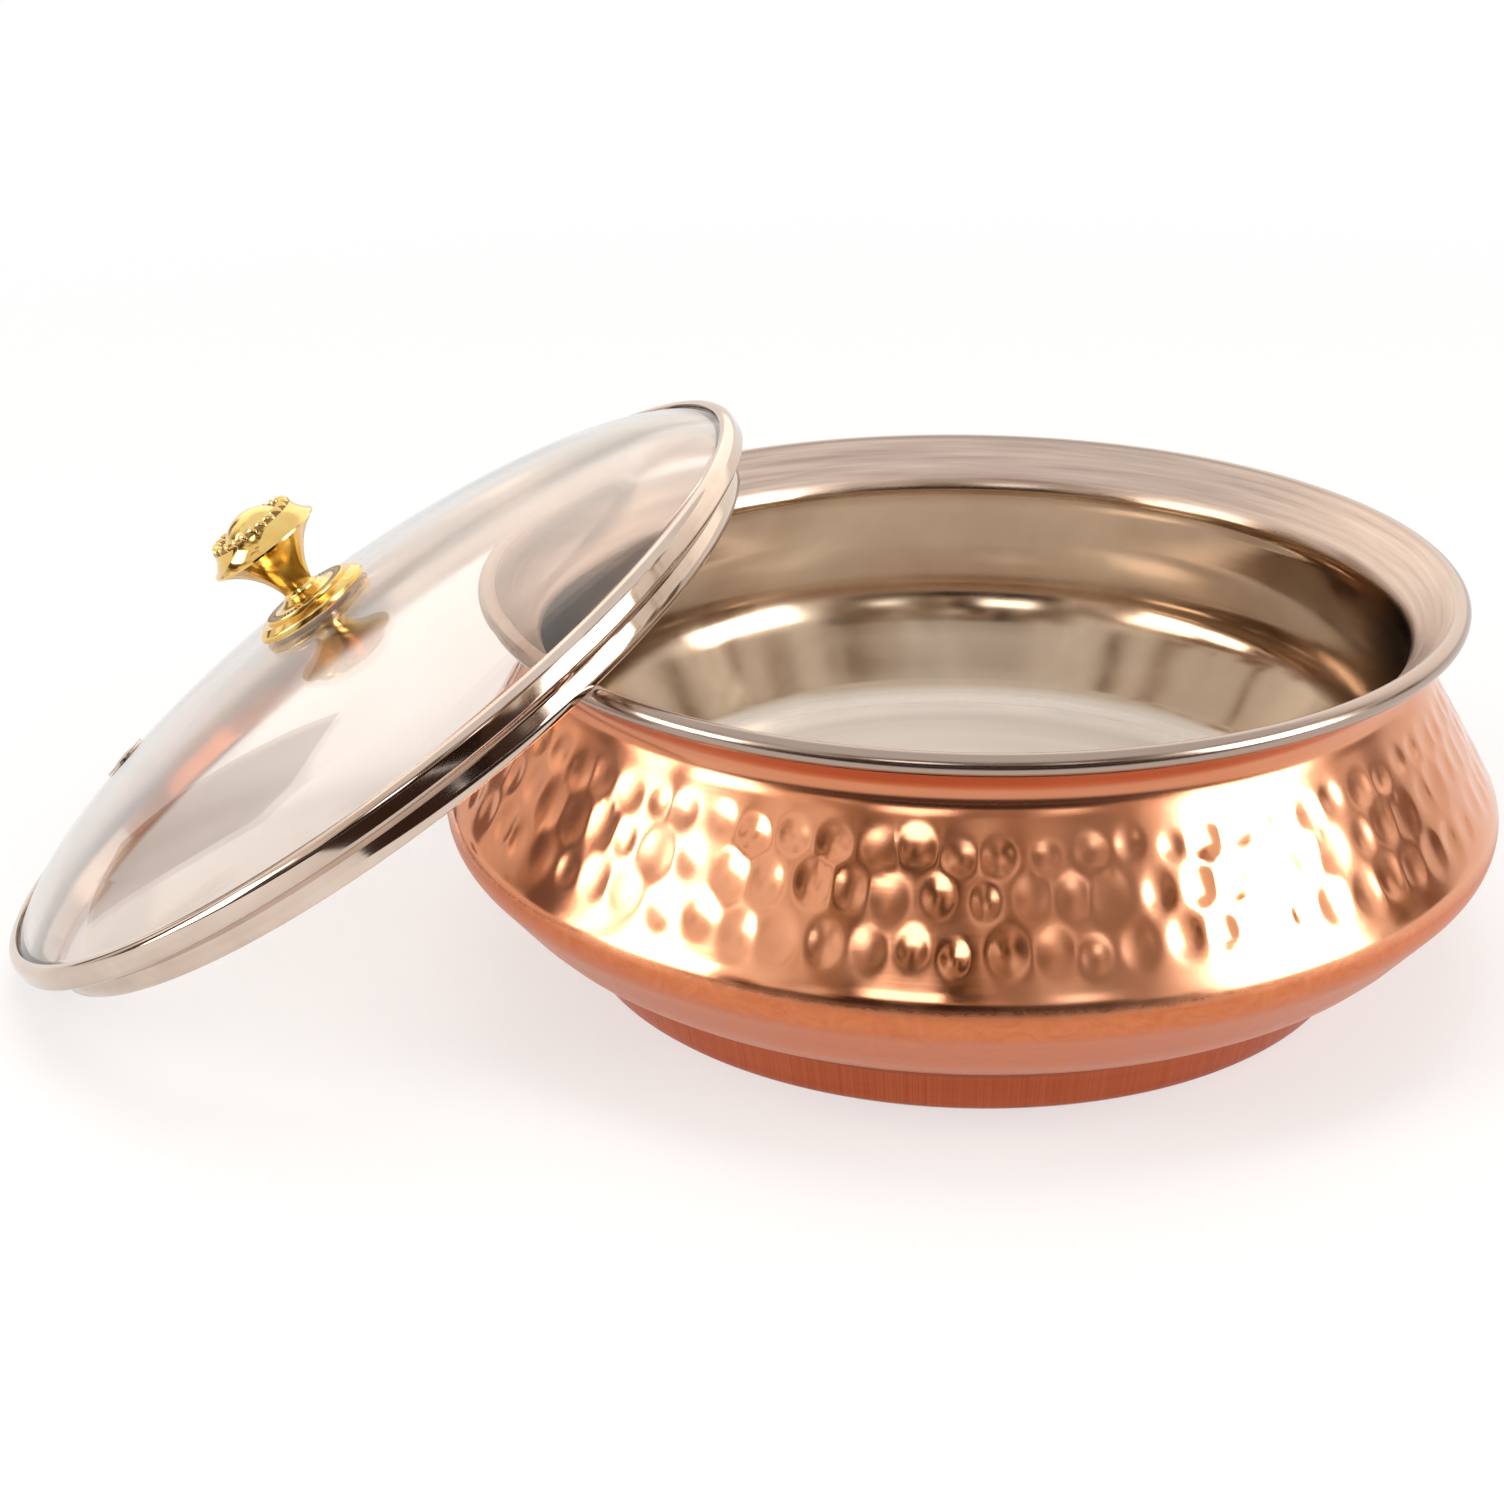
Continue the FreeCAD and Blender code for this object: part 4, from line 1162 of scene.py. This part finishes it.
def room_finish():
    """The far room: pale walls with brown upright strips, browner and darker towards the front."""
    made, tree, _ = new_material("far room")
    x, y, z = split(tree, object_spot(tree))
    upright = joined(tree, x, y, times(tree, z, 0.35))
    strips = noise(tree, upright, 3.4, 3.0, Roughness=0.65)
    front = spread(tree, y, -0.13, 0.0, -1.65, -1.05)
    back = spread(tree, y, 0.0, 0.22, 0.3, 1.2)
    level = plus(tree, strips, plus(tree, front, back))
    lit, pale = spread(tree, level, 0.0, 1.0, 0.30, 0.42), spread(tree, level, 0.0, 1.0, 0.42, 0.50)
    brown = blend_colours(tree, lit, (0.07, 0.042, 0.028), (0.46, 0.335, 0.235))
    wall = blend_colours(tree, pale, brown, (1.0, 0.95, 0.89))
    lower = spread(tree, z, 0.62, 1.0, 0.32, 0.40)
    strength = times(tree, lower, math_node(tree, "MULTIPLY_ADD", back, 3.0, 1.0))
    surface(tree, emission(tree, wall, strength))
    return made


def only_reflected(board):
    board.visible_camera = False
    board.visible_shadow = False
    board.visible_diffuse = False


def curved_board(name, distance, low, high, from_deg, to_deg, finish):
    """A board bent round the pot; angles run from +X towards +Y."""
    count = max(2, int(abs(to_deg - from_deg) / BOARD_FLAT_DEG) + 1)
    turns = np.radians(np.linspace(from_deg, to_deg, count))
    verts = [(distance * math.cos(a), distance * math.sin(a), z) for a in turns for z in (low, high)]
    faces = [(2 * k, 2 * k + 2, 2 * k + 3, 2 * k + 1) for k in range(count - 1)]
    only_reflected(linked_mesh(name, verts, faces, finish))


for name, *place, strength, colour in BOARDS:
    curved_board(name, *place, card(name + " card", strength, colour))
curved_board("room board", *ROOM, room_finish())
only_reflected(level_sheet("table edge board", *TABLE_EDGE, card("dark table", 1.0, TABLE_COLOUR)))
print("boards", len(BOARDS) + 2)

# %% World
world = bpy.data.worlds.new("studio")
bpy.context.scene.world = world
world.use_nodes = True
air = world.node_tree
air.nodes.clear()
seen = seen_by_eye(air)
skies = [
    tree_node(air, "ShaderNodeBackground", {"Color": colour, "Strength": strength}).outputs[0]
    for colour, strength in (((1.0, 0.985, 0.965, 1), 0.55), ((1, 1, 1, 1), 1.0))]
both = tree_node(air, "ShaderNodeMixShader", {0: seen, 1: skies[0], 2: skies[1]}).outputs[0]
tree_node(air, "ShaderNodeOutputWorld", {0: both})

# %% Lamps
LAMP_WATTS, LAMP_COLOUR = 9.0, (1.0, 0.97, 0.93)


def soft_box(name, spot, aim, wide, tall):
    """An area lamp that only rough surfaces see."""
    light = bpy.data.lights.new(name, "AREA")
    light.shape, light.size, light.size_y = "RECTANGLE", wide, tall
    light.energy, light.color = LAMP_WATTS, LAMP_COLOUR
    lamp = bpy.data.objects.new(name, light)
    bpy.context.scene.collection.objects.link(lamp)
    lamp.location = spot
    lamp.rotation_euler = (Vector(aim) - Vector(spot)).to_track_quat("-Z", "Y").to_euler()
    lamp.visible_glossy = False


soft_box("left box", (-1.15, -0.62, 0.95), (0, 0, 0.05), 0.55, 0.8)
soft_box("right box", (1.15, -0.70, 0.95), (0, 0, 0.05), 0.5, 0.8)
soft_box("top box", (0.0, 0.15, 1.6), (0, 0, 0), 1.0, 1.0)

# %% [markdown]
# ## Camera
# The camera stands in front and a little to the left, looking down at about 23 degrees. Its place was
# worked out from the ellipses of the rim and the foot, so the pot's size in the frame is right too.

# %% Camera
CAM_SPOT = Vector((-0.03662, -0.48763, 0.24321))
YAW, PITCH, ROLL, FOCAL_PX, FRAME_PX = -0.01194, 0.39982, -0.00855, 2663.70, 1504
level = math.cos(PITCH)
ahead = Vector((math.sin(YAW) * level, math.cos(YAW) * level, -math.sin(PITCH)))
side = Vector((math.cos(YAW), -math.sin(YAW), 0))
top = side.cross(ahead)
right = math.cos(ROLL) * side + math.sin(ROLL) * top
up = -math.sin(ROLL) * side + math.cos(ROLL) * top
lens = bpy.data.cameras.new("camera")
lens.sensor_width = 36.0
lens.lens = FOCAL_PX / FRAME_PX * lens.sensor_width
lens.clip_start, lens.clip_end = 0.01, 20.0
camera = bpy.data.objects.new("camera", lens)
bpy.context.scene.collection.objects.link(camera)
turned_to = Matrix((right, up, -ahead)).transposed().to_4x4()
camera.matrix_world = Matrix.Translation(CAM_SPOT) @ turned_to
bpy.context.scene.camera = camera
bpy.context.scene.view_settings.view_transform = "Standard"
print("camera lens mm", round(lens.lens, 2))
